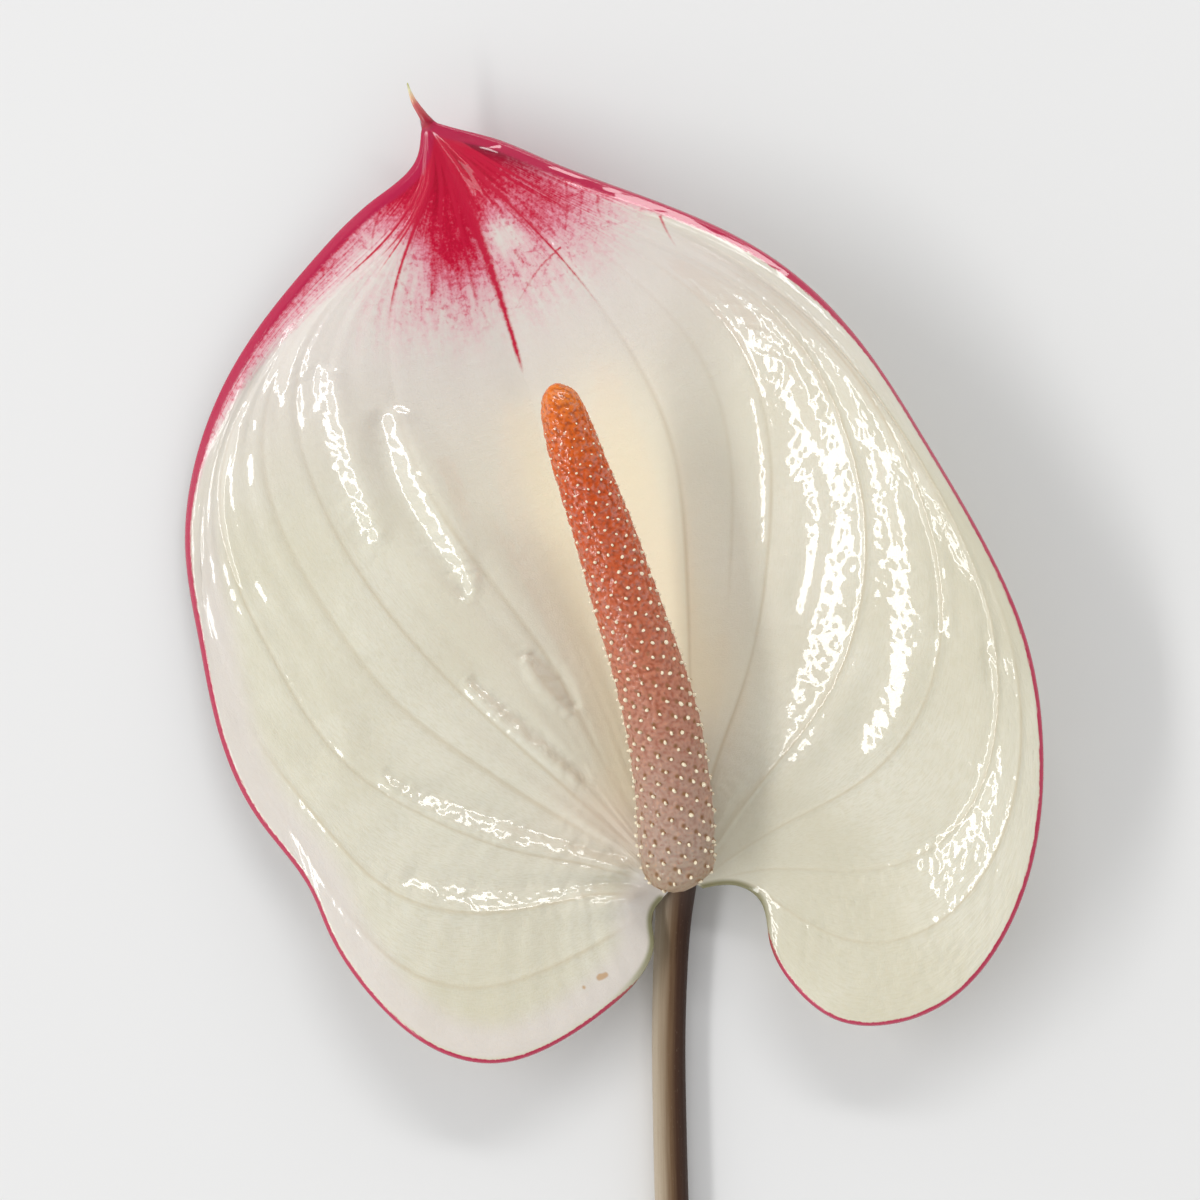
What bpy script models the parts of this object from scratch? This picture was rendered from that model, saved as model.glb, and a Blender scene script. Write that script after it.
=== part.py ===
"""Cut anthurium stem lying flat: one stem, one spathe and one spadix.

Metres, +Z up.  The tip of the spathe points to +Y and the cut end to -Y.
"""

import math

import bmesh
import bpy
import numpy as np

MM = 0.001

# Plan points are drawn on a square grid, x to the right and y downwards
GRID_STEP = 0.14
GRID_ZERO = (682.0, 872.0)

# Shift that puts the bottom centre of the whole stem at the origin
CENTRE_SHIFT = (9.83, 138.93)

# Spathe blade
BLADE_THICKNESS = 0.8
RIM_THICKNESS = 0.5
RIM_REACH = 0.985
BLADE_ROWS = 32
BLADE_PLACES = (-1.0, -0.99, -0.965, -0.93, -0.88, -0.81, -0.72, -0.6, -0.48, -0.36, -0.24, -0.12, 0.0,
                0.12, 0.24, 0.36, 0.48, 0.6, 0.72, 0.81, 0.88, 0.93, 0.965, 0.99, 1.0)
BASE_LEFT = (661, 901, 6.3)
BASE_RIGHT = (703, 889, 6.3)
BASE_BULGE = 1.6
APEX_LEFT = (422, 133, 8.2)
APEX_RIGHT = (437, 124, 9.0)

# Share of the length over which the thickness is measured straight up at the base
LEVEL_SHARE = 0.12

# Radius of the turned-down rim at fractions of the way from base to apex
LEFT_RIM = ((0.0, 0.2), (0.06, 0.5), (0.3, 0.6), (0.5, 0.9), (0.65, 1.2), (0.92, 1.3), (1.0, 0.3))
RIGHT_RIM = ((0.0, 0.2), (0.06, 0.5), (0.3, 0.6), (0.5, 0.9), (0.65, 1.7), (0.92, 1.7), (1.0, 0.3))

# Vein lines from base to apex: place across the blade, then x, y and height
VEIN_LINES = (
    (-1.0, ((655, 909, 6.5), (652, 920, 6.8), (654, 941, 7.2), (640, 976, 8.4), (606, 1009, 10.2), (560, 1040, 12.0),
            (500, 1061, 13.0), (445, 1052, 12.8), (376, 1000, 11.0), (327, 927, 9.0), (312, 892, 8.2),
            (259, 820, 5.8), (222, 745, 3.8), (198, 640, 2.1), (184, 545, 1.04), (192, 470, 1.3),
            (236, 360, 2.4), (312, 260, 4.6), (373, 200, 6.2), (402, 178, 7.0), (417, 159, 7.5))),
    (-0.75, ((600, 895, 7.6), (540, 906, 8.6), (477, 913, 9.6), (398, 895, 9.8), (318, 819, 8.6),
             (254, 736, 6.4), (212, 640, 4.4), (199, 540, 3.4), (208, 460, 3.6), (250, 368, 4.4),
             (322, 281, 5.4), (390, 213, 6.8), (413, 179, 7.4))),
    (-0.6, ((600, 868, 7.4), (520, 852, 8.2), (430, 818, 8.8), (347, 765, 8.4), (272, 657, 7.0),
            (228, 560, 5.4), (219, 490, 5.2), (244, 400, 5.4), (311, 306, 6.0), (396, 222, 7.1), (419, 181, 7.6))),
    (-0.38, ((624, 841, 7.0), (560, 783, 7.8), (473, 704, 8.6), (376, 596, 8.6), (317, 493, 8.2),
             (296, 390, 7.6), (332, 306, 7.4), (404, 229, 7.7), (425, 183, 7.9))),
    (-0.18, ((617, 790, 7.0), (562, 682, 7.8), (490, 580, 8.6), (430, 492, 8.8), (395, 400, 8.6),
             (391, 310, 8.2), (418, 220, 8.0), (432, 178, 8.1))),
    (0.0, ((655, 800, 6.4), (590, 600, 6.3), (525, 380, 6.8), (480, 240, 7.4), (445, 160, 8.0))),
    (0.17, ((690, 700, 7.0), (686, 560, 7.8), (670, 440, 8.4), (627, 347, 8.8), (560, 257, 9.0),
            (490, 185, 9.0))),
    (0.32, ((713, 773, 7.4), (748, 670, 8.8), (768, 550, 10.2), (767, 430, 11.0), (735, 340, 11.4),
            (645, 258, 11.2), (548, 202, 10.4), (488, 165, 9.6))),
    (0.5, ((753, 793, 8.3), (830, 690, 11.8), (865, 560, 14.5), (840, 420, 15.3), (770, 312, 14.6),
           (670, 250, 13.2), (570, 202, 11.4), (497, 163, 9.9))),
    (0.65, ((780, 827, 8.5), (867, 777, 12.0), (923, 703, 15.6), (940, 610, 18.0), (918, 497, 18.6),
            (866, 394, 18.0), (782, 302, 16.6), (686, 243, 14.4), (585, 198, 12.0), (505, 160, 10.1))),
    (0.78, ((763, 870, 7.8), (883, 867, 11.2), (957, 823, 14.6), (992, 737, 17.6), (987, 615, 19.6),
            (954, 527, 20.2), (893, 422, 20.0), (822, 332, 18.6), (728, 257, 16.2), (620, 204, 13.2), (518, 159, 10.4))),
    (1.0, ((741, 887, 7.0), (760, 900, 7.6), (770, 940, 9.0), (793, 984, 10.6), (838, 1019, 12.2),
           (885, 1023, 13.2), (946, 1000, 14.6), (1000, 938, 16.2), (1034, 840, 17.8), (1040, 760, 18.6),
           (1024, 643, 19.8), (980, 540, 20.3), (922, 440, 20.2), (856, 340, 19.6), (771, 260, 18.0),
           (648, 200, 15.2), (544, 160, 12.0), (490, 138, 10.2), (458, 130, 9.5))),
)

# Drawn-out tip beyond the apex: x, y, height and half width
CUSP_LINE = ((424, 119, 9.0, 1.0), (418, 107, 9.4, 0.7), (412, 95, 9.9, 0.45), (407, 84, 10.5, 0.16))

# Spadix axis: x, y, height of the axis and radius
SPADIX_LINE = ((682, 884, 11.1, 2.6), (680, 876, 11.5, 4.3), (678, 862, 12.1, 5.1), (676, 842, 12.8, 5.35),
               (675, 815, 13.8, 5.4), (671, 776, 15.2, 5.3), (661, 717, 17.3, 5.2), (646, 663, 19.2, 4.95),
               (625, 599, 21.4, 4.65), (603, 531, 23.8, 4.25), (583, 475, 25.7, 3.85), (568, 430, 27.2, 3.45),
               (560, 402, 28.2, 2.7), (557, 391, 28.6, 1.6))
SPADIX_SIDES = 21
SPADIX_RINGS = 54
FLORET_RELIEF = 0.16

# Stem axis from the cut end to the blade: x and y in millimetres, height and radius
STEM_LINE = ((40.6, -388.0, 2.75, 2.75), (31.2, -345.0, 2.7, 2.7), (18.6, -275.0, 2.62, 2.62),
             (8.6, -200.0, 2.55, 2.55), (2.4, -130.0, 2.5, 2.5), (-0.5, -75.0, 2.45, 2.45),
             (-1.4, -46.0, 2.42, 2.42), (-1.8, -28.0, 2.4, 2.4), (-1.5, -12.0, 2.5, 2.5),
             (-1.1, -6.0, 2.75, 2.65), (-0.8, -2.6, 3.0, 2.85), (-0.5, 1.2, 3.15, 2.85), (-0.4, 3.4, 3.2, 2.5))
STEM_SIDES = 18
STEM_RINGS = 26
CUT_SLANT = 0.9

SPATHE_CREAM = (0.75, 0.73, 0.63, 1.0)
SPADIX_ORANGE = (0.58, 0.16, 0.08, 1.0)
STEM_BROWN = (0.21, 0.15, 0.11, 1.0)


def clear_objects():
    for item in list(bpy.data.objects):
        bpy.data.objects.remove(item, do_unlink=True)


def plan_point(x, y, height):
    """A drawn grid point and a height as millimetres from the blade base."""
    return ((x - GRID_ZERO[0]) * GRID_STEP, (GRID_ZERO[1] - y) * GRID_STEP, height)


def natural_spline(points, fractions):
    """Points at even fractions of the way along a smooth line through the given points."""
    points = np.array(points, float)
    steps = np.linalg.norm(np.diff(points[:, :2], axis=0), axis=1)
    places = np.concatenate(([0.0], np.cumsum(steps)))
    places /= places[-1]
    count = len(points)
    gaps = np.diff(places)
    system = np.eye(count)
    target = np.zeros(points.shape)
    for row in range(1, count - 1):
        before = gaps[row - 1]
        after = gaps[row]
        system[row, row - 1] = before
        system[row, row] = 2.0 * (before + after)
        system[row, row + 1] = after
        rise_after = (points[row + 1] - points[row]) / after
        rise_before = (points[row] - points[row - 1]) / before
        target[row] = 6.0 * (rise_after - rise_before)
    bends = np.linalg.solve(system, target)
    fine = np.linspace(0.0, 1.0, 1200)
    spans = np.clip(np.searchsorted(places, fine, side="right") - 1, 0, count - 2)
    width = gaps[spans][:, None]
    left = (places[spans + 1] - fine)[:, None] / width
    right = (fine - places[spans])[:, None] / width
    curve = left * points[spans] + right * points[spans + 1]
    curve += ((left ** 3 - left) * bends[spans] + (right ** 3 - right) * bends[spans + 1]) * width ** 2 / 6.0
    run = np.concatenate(([0.0], np.cumsum(np.linalg.norm(np.diff(curve[:, :2], axis=0), axis=1))))
    run /= run[-1]
    return np.stack([np.interp(fractions, run, curve[:, axis]) for axis in range(points.shape[1])], axis=1)


def blend_across(knots, values, places):
    """Smooth values between the knots without overshoot."""
    gaps = np.diff(knots)[:, None, None]
    rises = np.diff(values, axis=0) / gaps
    slopes = np.zeros(values.shape)
    slopes[0] = rises[0]
    slopes[-1] = rises[-1]
    same_sign = rises[:-1] * rises[1:] > 0.0
    weight_before = 2.0 * gaps[1:] + gaps[:-1]
    weight_after = gaps[1:] + 2.0 * gaps[:-1]
    safe_before = np.where(same_sign, rises[:-1], 1.0)
    safe_after = np.where(same_sign, rises[1:], 1.0)
    mean = (weight_before + weight_after) / (weight_before / safe_before + weight_after / safe_after)
    slopes[1:-1] = np.where(same_sign, mean, 0.0)
    result = []
    for place in places:
        span = min(max(int(np.searchsorted(knots, place, side="right")) - 1, 0), len(knots) - 2)
        gap = knots[span + 1] - knots[span]
        u = (place - knots[span]) / gap
        start = (1.0 + 2.0 * u) * (1.0 - u) ** 2 * values[span]
        end = u * u * (3.0 - 2.0 * u) * values[span + 1]
        lean = gap * u * (1.0 - u) * ((1.0 - u) * slopes[span] - u * slopes[span + 1])
        result.append(start + end + lean)
    return np.array(result)


def vein_line(place, points, fractions):
    share = (place + 1.0) / 2.0
    base = np.array(plan_point(*BASE_LEFT)) * (1.0 - share) + np.array(plan_point(*BASE_RIGHT)) * share
    base[1] += BASE_BULGE * 4.0 * share * (1.0 - share)
    apex = np.array(plan_point(*APEX_LEFT)) * (1.0 - share) + np.array(plan_point(*APEX_RIGHT)) * share
    middle = [plan_point(*point) for point in points]
    return natural_spline([base] + middle + [apex], fractions)


def blade_middle(places, rows):
    """Middle surface of the blade as a grid of places across and rows along."""
    fractions = np.linspace(0.0, 1.0, rows)
    knots = np.array([place for place, points in VEIN_LINES])
    lines = np.array([vein_line(place, points, fractions) for place, points in VEIN_LINES])
    surface = blend_across(knots, lines, places)
    margins = ((surface[0].copy(), LEFT_RIM), (surface[-1].copy(), RIGHT_RIM))
    for margin, table in margins:
        radius = np.interp(fractions, [entry[0] for entry in table], [entry[1] for entry in table])
        inset = np.linalg.norm(surface[:, :, :2] - margin[None, :, :2], axis=2)
        turned = np.clip(1.0 - inset / radius[None, :], 0.0, RIM_REACH)
        surface[:, :, 2] -= radius[None, :] * (1.0 - np.sqrt(1.0 - turned ** 2))
    return surface


def add_cusp(surface):
    """Rows beyond the apex that draw the blade out to a round point."""
    width = len(surface)
    across = np.linspace(-1.0, 1.0, width)
    direction = surface[-1, -1] - surface[0, -1]
    direction /= np.linalg.norm(direction)
    rows = []
    for x, y, height, half in CUSP_LINE:
        centre = np.array(plan_point(x, y, height))
        rows.append(centre[None, :] + across[:, None] * half * direction[None, :])
    return np.concatenate((surface, np.array(rows).transpose(1, 0, 2)), axis=1)


def half_thickness(columns, rows):
    """Half the blade thickness at every grid point, thin at the rim and round at the cusp."""
    half = np.full((columns, rows), BLADE_THICKNESS / 2.0)
    half[0] = RIM_THICKNESS / 2.0
    half[-1] = RIM_THICKNESS / 2.0
    across = np.linspace(-1.0, 1.0, columns)
    first = rows - len(CUSP_LINE)
    for step, (x, y, height, width) in enumerate(CUSP_LINE):
        half[:, first + step] = width * np.sqrt(np.maximum(1.0 - across ** 2, 0.04))
    return half


def surface_normals(surface):
    across = np.gradient(surface, axis=0)
    along = np.gradient(surface, axis=1)
    normals = np.cross(across, along)
    normals /= np.linalg.norm(normals, axis=2)[:, :, None]
    rows = surface.shape[1]
    level = np.clip(1.0 - np.arange(rows) / (LEVEL_SHARE * rows), 0.0, 1.0)[None, :, None]
    normals = normals * (1.0 - level) + np.array((0.0, 0.0, 1.0)) * level
    return normals / np.linalg.norm(normals, axis=2)[:, :, None]


def sheet_faces(columns, rows):
    """Faces of a closed sheet whose top grid comes before its bottom grid."""
    top = np.arange(columns * rows).reshape(columns, rows)
    bottom = top + columns * rows
    faces = []
    for i in range(columns - 1):
        for j in range(rows - 1):
            faces.append((top[i, j], top[i + 1, j], top[i + 1, j + 1], top[i, j + 1]))
            faces.append((bottom[i, j], bottom[i, j + 1], bottom[i + 1, j + 1], bottom[i + 1, j]))
    loop = [(i, 0) for i in range(columns - 1)]
    loop += [(columns - 1, j) for j in range(rows - 1)]
    loop += [(i, rows - 1) for i in range(columns - 1, 0, -1)]
    loop += [(0, j) for j in range(rows - 1, 0, -1)]
    for here, there in zip(loop, loop[1:] + loop[:1]):
        faces.append((top[there], top[here], bottom[here], bottom[there]))
    return [tuple(int(corner) for corner in face) for face in faces]


def ring_faces(rings, sides):
    """Triangles over rings that each turn by half a side, with a fan at both ends."""
    faces = []
    for ring in range(rings - 1):
        for side in range(sides):
            after = (side + 1) % sides
            here = ring * sides
            above = here + sides
            faces.append((here + side, here + after, above + side))
            faces.append((here + after, above + after, above + side))
    faces.append(tuple(range(sides))[::-1])
    faces.append(tuple(range((rings - 1) * sides, rings * sides)))
    return faces


def frames_along(centres):
    """A level side vector and an upward vector square to the axis at every centre."""
    forward = np.gradient(centres, axis=0)
    forward /= np.linalg.norm(forward, axis=1)[:, None]
    side = np.cross(forward, np.array((0.0, 0.0, 1.0)))
    side /= np.linalg.norm(side, axis=1)[:, None]
    return forward, side, np.cross(side, forward)


def make_object(name, points, faces, colour, roughness):
    mesh = bpy.data.meshes.new(name)
    shift = np.array((CENTRE_SHIFT[0], CENTRE_SHIFT[1], 0.0))
    mesh.from_pydata([tuple(point) for point in (np.array(points) + shift) * MM], [], faces)
    work = bmesh.new()
    work.from_mesh(mesh)
    bmesh.ops.triangulate(work, faces=work.faces[:])
    bmesh.ops.recalc_face_normals(work, faces=work.faces[:])
    work.to_mesh(mesh)
    work.free()
    material = bpy.data.materials.new(name)
    material.use_nodes = True
    shader = material.node_tree.nodes["Principled BSDF"]
    shader.inputs["Base Color"].default_value = colour
    shader.inputs["Roughness"].default_value = roughness
    material.diffuse_color = colour
    mesh.materials.append(material)
    made = bpy.data.objects.new(name, mesh)
    bpy.context.scene.collection.objects.link(made)
    return made


def build_spathe():
    surface = add_cusp(blade_middle(BLADE_PLACES, BLADE_ROWS))
    columns, rows = surface.shape[:2]
    normals = surface_normals(surface)
    half = half_thickness(columns, rows)[:, :, None]
    top = (surface + normals * half).reshape(-1, 3)
    bottom = (surface - normals * half).reshape(-1, 3)
    make_object("spathe", np.concatenate((top, bottom)), sheet_faces(columns, rows), SPATHE_CREAM, 0.25)


def build_spadix():
    drawn = [plan_point(x, y, height) + (radius,) for x, y, height, radius in SPADIX_LINE]
    line = natural_spline(drawn, np.linspace(0.0, 1.0, SPADIX_RINGS))
    forward, side, up = frames_along(line[:, :3])
    points = []
    for ring in range(SPADIX_RINGS):
        centre = line[ring, :3]
        for index in range(SPADIX_SIDES):
            angle = 2.0 * math.pi * (index + ring / 2.0) / SPADIX_SIDES
            raised = FLORET_RELIEF if (index - ring) % 3 == 0 else 0.0
            if ring in (0, SPADIX_RINGS - 1):
                raised = 0.0
            radius = line[ring, 3] + raised
            points.append(centre + radius * (math.cos(angle) * side[ring] + math.sin(angle) * up[ring]))
    make_object("spadix", points, ring_faces(SPADIX_RINGS, SPADIX_SIDES), SPADIX_ORANGE, 0.4)


def build_stem():
    line = natural_spline(STEM_LINE, np.linspace(0.0, 1.0, STEM_RINGS) ** 0.7)
    line[:, 2] = np.maximum(line[:, 2], line[:, 3])
    forward, side, up = frames_along(line[:, :3])
    points = []
    for ring in range(STEM_RINGS):
        for index in range(STEM_SIDES):
            angle = 2.0 * math.pi * (index + ring / 2.0) / STEM_SIDES - math.pi / 2.0
            offset = math.cos(angle) * side[ring] + math.sin(angle) * up[ring]
            point = line[ring, :3] + line[ring, 3] * offset
            if ring == 0:
                point = point - forward[ring] * CUT_SLANT * math.cos(angle)
            points.append(point)
    make_object("stem", points, ring_faces(STEM_RINGS, STEM_SIDES), STEM_BROWN, 0.45)


clear_objects()
build_stem()
build_spathe()
build_spadix()
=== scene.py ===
"""Looks of a cut anthurium stem lying flat: glossy spathe, floret-covered spadix and stalk."""

import math

import bpy
import numpy as np
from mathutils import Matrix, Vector


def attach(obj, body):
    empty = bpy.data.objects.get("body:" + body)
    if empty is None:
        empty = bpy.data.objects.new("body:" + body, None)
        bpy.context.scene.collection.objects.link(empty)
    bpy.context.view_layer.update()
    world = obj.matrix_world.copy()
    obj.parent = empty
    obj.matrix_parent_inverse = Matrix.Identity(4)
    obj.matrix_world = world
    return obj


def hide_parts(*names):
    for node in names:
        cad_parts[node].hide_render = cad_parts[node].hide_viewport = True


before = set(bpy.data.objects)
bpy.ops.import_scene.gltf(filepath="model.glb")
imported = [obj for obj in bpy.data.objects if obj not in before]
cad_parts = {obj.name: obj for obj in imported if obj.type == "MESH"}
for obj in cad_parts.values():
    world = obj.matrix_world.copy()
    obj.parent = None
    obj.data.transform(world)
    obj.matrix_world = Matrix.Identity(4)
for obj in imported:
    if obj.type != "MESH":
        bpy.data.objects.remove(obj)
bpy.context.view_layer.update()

MM = 0.001
UPRIGHT = np.array((0.0, 0.0, 1.0))

# Samples along a spline, and along a drawn path
SPLINE_SAMPLES = 4000
PATH_SAMPLES = 60

# Plan points are drawn on a square grid, x to the right and y downwards: its step in millimetres,
# the grid point of the blade base, and where the base lies from the middle of the whole flower
GRID_STEP = 0.14
GRID_ZERO = (682, 872)
CENTRE_SHIFT = np.array((9.83, 138.93, 0))

# Spathe blade: thickness in millimetres, how far its rims turn, columns, rows and rows of the tip, step
# of the coarser underside, rows at the base that ease from level, crowding of columns at the margins
BLADE_THICKNESS = 0.6
RIM_THICKNESS = 0.36
RIM_REACH = 0.97
BLADE_COLUMNS = 433
BLADE_ROWS = 401
CUSP_ROWS = 20
UNDER_STEP = 4
LEVEL_ROWS = 40
PLACE_BEND = 0.75

# Left and right ends of the base and of the apex: x, y and height, and how far the base bulges
BASE_ENDS = ((661, 901, 6.3), (703, 889, 6.3))
BASE_BULGE = 1.6
APEX_ENDS = ((422, 133, 8.2), (437, 124, 9))

# Radius of the turned-down rim at fractions of the way from base to apex
LEFT_RIM = ((0, 0.2), (0.06, 0.5), (0.3, 0.6), (0.5, 0.9), (0.65, 1.2), (0.92, 1.3), (1, 0.3))
RIGHT_RIM = ((0, 0.2), (0.06, 0.5), (0.3, 0.6), (0.5, 0.9), (0.65, 1.7), (0.92, 1.7), (1, 0.3))

# Vein lines from base to apex: place across the blade, then x, y and height
VEIN_LINES = (
    (-1, ((655, 909, 6.5), (652, 920, 6.8), (654, 941, 7.2), (640, 976, 8.4), (606, 1009, 10.2),
     (560, 1040, 12), (500, 1061, 13), (445, 1052, 12.8), (376, 1000, 11), (327, 927, 9), (312, 892, 8.2),
     (259, 820, 6.6), (222, 745, 5.2), (198, 640, 3.9), (184, 545, 3), (192, 470, 3), (236, 360, 3.7),
     (312, 260, 5), (373, 200, 6.3), (402, 178, 7), (417, 159, 7.5))),
    (-0.75, ((600, 895, 7.6), (540, 906, 8.6), (477, 913, 9.6), (398, 895, 9.8), (318, 819, 8.2),
     (254, 736, 5.8), (212, 640, 4.1), (199, 540, 3.4), (208, 460, 3.5), (250, 368, 4.3), (322, 281, 5.4),
     (390, 213, 6.8), (413, 179, 7.4))),
    (-0.6, ((600, 868, 7.4), (520, 852, 8.2), (430, 818, 8.8), (347, 765, 8.3), (272, 657, 6.2),
     (228, 560, 4.5), (219, 490, 4.2), (244, 400, 4.4), (311, 306, 5.8), (396, 222, 7.1),
     (419, 181, 7.6))),
    (-0.38, ((624, 841, 7), (560, 783, 7.8), (473, 704, 8.5), (376, 596, 8.2), (317, 493, 7.2),
     (296, 390, 7.1), (332, 306, 7.2), (404, 229, 7.7), (425, 183, 7.9))),
    (-0.18, ((617, 790, 7), (562, 682, 7.8), (490, 580, 8.6), (430, 492, 8.8), (395, 400, 8.6),
     (391, 310, 8.2), (418, 220, 8), (432, 178, 8.1))),
    (0, ((655, 800, 6.4), (590, 600, 6.3), (525, 380, 6.8), (480, 240, 7.4), (445, 160, 8))),
    (0.17, ((690, 700, 7), (686, 560, 7.8), (670, 440, 8.4), (627, 347, 8.8), (560, 257, 9),
     (490, 185, 9))),
    (0.32, ((713, 773, 7.4), (748, 670, 8.8), (768, 550, 10.2), (767, 430, 11), (735, 340, 11.4),
     (645, 258, 11.2), (548, 202, 10.4), (488, 165, 9.6))),
    (0.5, ((753, 793, 8.3), (830, 690, 11.8), (865, 560, 14.5), (840, 420, 15.3), (770, 312, 14.6),
     (670, 250, 13.2), (570, 202, 11.4), (497, 163, 9.9))),
    (0.65, ((780, 827, 8.5), (867, 777, 12), (923, 703, 15.6), (940, 610, 18), (918, 497, 18.6),
     (866, 394, 18), (782, 302, 16.6), (686, 243, 14.4), (585, 198, 12), (505, 160, 10.1))),
    (0.78, ((763, 870, 7.8), (883, 867, 11.2), (957, 823, 14.6), (992, 737, 17.6), (987, 615, 19.6),
     (954, 527, 20.2), (893, 422, 20), (822, 332, 18.6), (728, 257, 16.2), (620, 204, 13.2),
     (518, 159, 10.4))),
    (1, ((741, 887, 7), (760, 900, 7.6), (770, 940, 9), (793, 984, 10.6), (838, 1019, 12.2),
     (885, 1023, 13.2), (946, 1000, 14.6), (1000, 938, 16.2), (1034, 840, 17.8), (1040, 760, 18.6),
     (1024, 643, 19.8), (980, 540, 20.1), (922, 440, 19.6), (856, 340, 18.6), (771, 260, 16.9),
     (648, 200, 14.6), (544, 160, 12), (490, 138, 10.2), (458, 130, 9.5))),
)

# Drawn-out tip beyond the apex: x, y, height and half width
CUSP_LINE = ((428, 123, 8.8, 0.8), (424, 117, 9, 0.66), (420, 111, 9.2, 0.56), (416.5, 106, 9.4, 0.48),
             (411, 95, 9.9, 0.28), (407.5, 83.5, 10.5, 0.1))

# Ridges and grooves along the veins: place across, half width, height, start and end
RELIEF = (
    (0.17, 0.4, -0.12, 0.05, 0.85), (0.25, 0.35, -0.08, 0.35, 0.8), (0.32, 0.4, -0.16, 0.05, 0.78),
    (0.41, 3.2, 0.2, 0.15, 0.75), (0.5, 1.5, -0.2, 0.08, 0.76), (0.5, 0.3, 0.22, 0.05, 0.78),
    (0.65, 1.4, -0.2, 0.08, 0.85), (0.65, 0.28, 0.15, 0.05, 0.8), (0.78, 1.4, -0.2, 0.08, 0.8),
    (0.78, 0.28, 0.18, 0.04, 0.85), (0.89, 0.35, 0.14, 0.03, 0.45), (0, 1.6, -0.3, 0.1, 0.74),
    (-0.18, 0.45, -0.12, 0.15, 0.76), (-0.38, 0.4, -0.14, 0.1, 0.76), (-0.47, 0.5, -0.12, 0.1, 0.8),
    (-0.6, 0.32, -0.2, 0.04, 0.75), (-0.75, 0.4, 0.2, 0.03, 0.4), (-0.88, 0.5, 0.14, 0.04, 0.4),
)

# How softly each starts and ends, and the greatest half width that is tinted as a vein, with an olive
# that is partly the veins' own colour and partly painted groove shade
RELIEF_FADE = 0.07
VEIN_TINT_WIDTH = 0.5

# Soft folds whose flanks face left, left but less steeply, and the apex: x, y and half width
LEFT_FOLDS = (
    ((735, 270, 4), (758, 298, 9), (777, 328, 14), (797, 363, 26), (811, 394, 22), (826, 425, 11),
     (834, 455, 9), (840, 490, 10), (845, 525, 14), (843, 559, 18), (837, 594, 21), (832, 625, 20),
     (823, 659, 21), (811, 694, 19), (797, 728, 15), (776, 765, 8)),
    ((806, 421, 5), (801, 448, 8), (800, 471, 8), (810, 490, 6), (811, 525, 7), (810, 559, 6),
     (803, 586, 6), (797, 625, 4)),
    ((861, 398, 4), (863, 412, 9), (866, 430, 11), (869, 455, 8), (874, 486, 9), (881, 524, 10),
     (889, 548, 11), (893, 578, 13), (894, 609, 17), (897, 640, 14), (898, 671, 10), (888, 702, 14),
     (872, 732, 12), (852, 762, 8)),
    ((900, 450, 3), (907, 465, 5), (914, 484, 6), (924, 511, 6), (934, 548, 4), (940, 586, 4),
     (943, 640, 4)),
    ((931, 502, 2), (944, 529, 4), (961, 566, 5), (977, 592, 5), (986, 640, 3), (992, 700, 3)),
    ((750, 390, 3), (760, 440, 4), (764, 490, 4), (763, 550, 3)),
    ((318, 362, 6), (326, 400, 11), (336, 440, 11), (347, 475, 10), (360, 510, 10), (376, 552, 5)),
    ((384, 404, 6), (398, 448, 12), (413, 485, 14), (432, 522, 12), (454, 560, 9), (474, 604, 3)),
)
DULL_FOLDS = (
    ((262, 440, 6), (270, 485, 9), (284, 525, 10), (300, 558, 10), (318, 590, 9), (338, 622, 6)),
    ((236, 580, 4), (256, 620, 7), (276, 660, 8), (296, 692, 8), (318, 727, 7), (345, 762, 4)),
    ((218, 540, 8), (220, 590, 11), (228, 640, 12), (242, 700, 12), (266, 760, 11), (300, 815, 8)),
    ((996, 640, 6), (1004, 690, 11), (1010, 750, 14), (1006, 820, 16), (992, 880, 16), (960, 930, 12)),
    ((290, 300, 8), (268, 345, 12), (258, 400, 16), (257, 470, 18), (264, 550, 18), (282, 630, 18),
     (312, 710, 16), (350, 775, 12)),
)
TOP_FOLDS = (
    ((376, 768, 3), (408, 792, 6), (440, 808, 9), (476, 823, 10), (520, 838, 10), (580, 854, 9),
     (640, 864, 4)),
    ((395, 877, 5), (430, 890, 9), (490, 899, 11), (550, 898, 10), (610, 893, 8), (655, 889, 5)),
    ((464, 677, 3.5), (500, 710, 5), (540, 745, 5), (588, 783, 3.5)),
    ((526, 652, 3), (541, 671, 6), (558, 692, 6), (574, 714, 3)),
)

# Samples along each fold, how often the slopes are corrected, and the slopes they are brought to
FOLD_SAMPLES = 150
FOLD_SWEEPS = 4
LEFT_SLOPE = 0.425
TOP_SLOPE = 0.385
DULL_SLOPE = 0.22

# Bevel along the upper right rim: how much of it at fractions from base to apex, the insets where it
# starts, is full and turns down, the steepest slope, and how much less it leans where the blade thins
SHINE_SHARE = ((0.68, 0), (0.75, 0.7), (0.79, 1), (0.955, 1), (0.98, 0))
SHINE_START = 2
SHINE_INNER = 1.3
SHINE_OUTER = 0.42
SHINE_STEEP = 2.6
SHINE_BLUR = 0.015
SHINE_THINNING = ((0.68, 0), (0.75, 0.65), (0.8, 0.65), (0.83, 0.65), (0.863, 0.73), (0.888, 0.7),
                  (0.912, 0.57), (0.938, 0.45), (0.957, 0.36), (0.98, 0.2))

# Scale of the patterns along and across the veins, and the vein spread at which relief is full
ALONG_SCALE = 45
FULL_SPREAD = 38

# Crimson threads near the apex: x and y
THREADS = (
    ((560, 248), (541, 266), (525, 290), (512, 316)),
    ((566, 178), (567, 205), (566, 228), (560, 248)),
    ((598, 196), (600, 215), (606, 222)),
    ((515, 250), (524, 262), (540, 266)),
    ((430, 300), (432, 285), (426, 268)),
    ((345, 225), (336, 250), (320, 262)),
    ((380, 210), (372, 240), (374, 262)),
    ((660, 218), (668, 235), (676, 248)),
)
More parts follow.
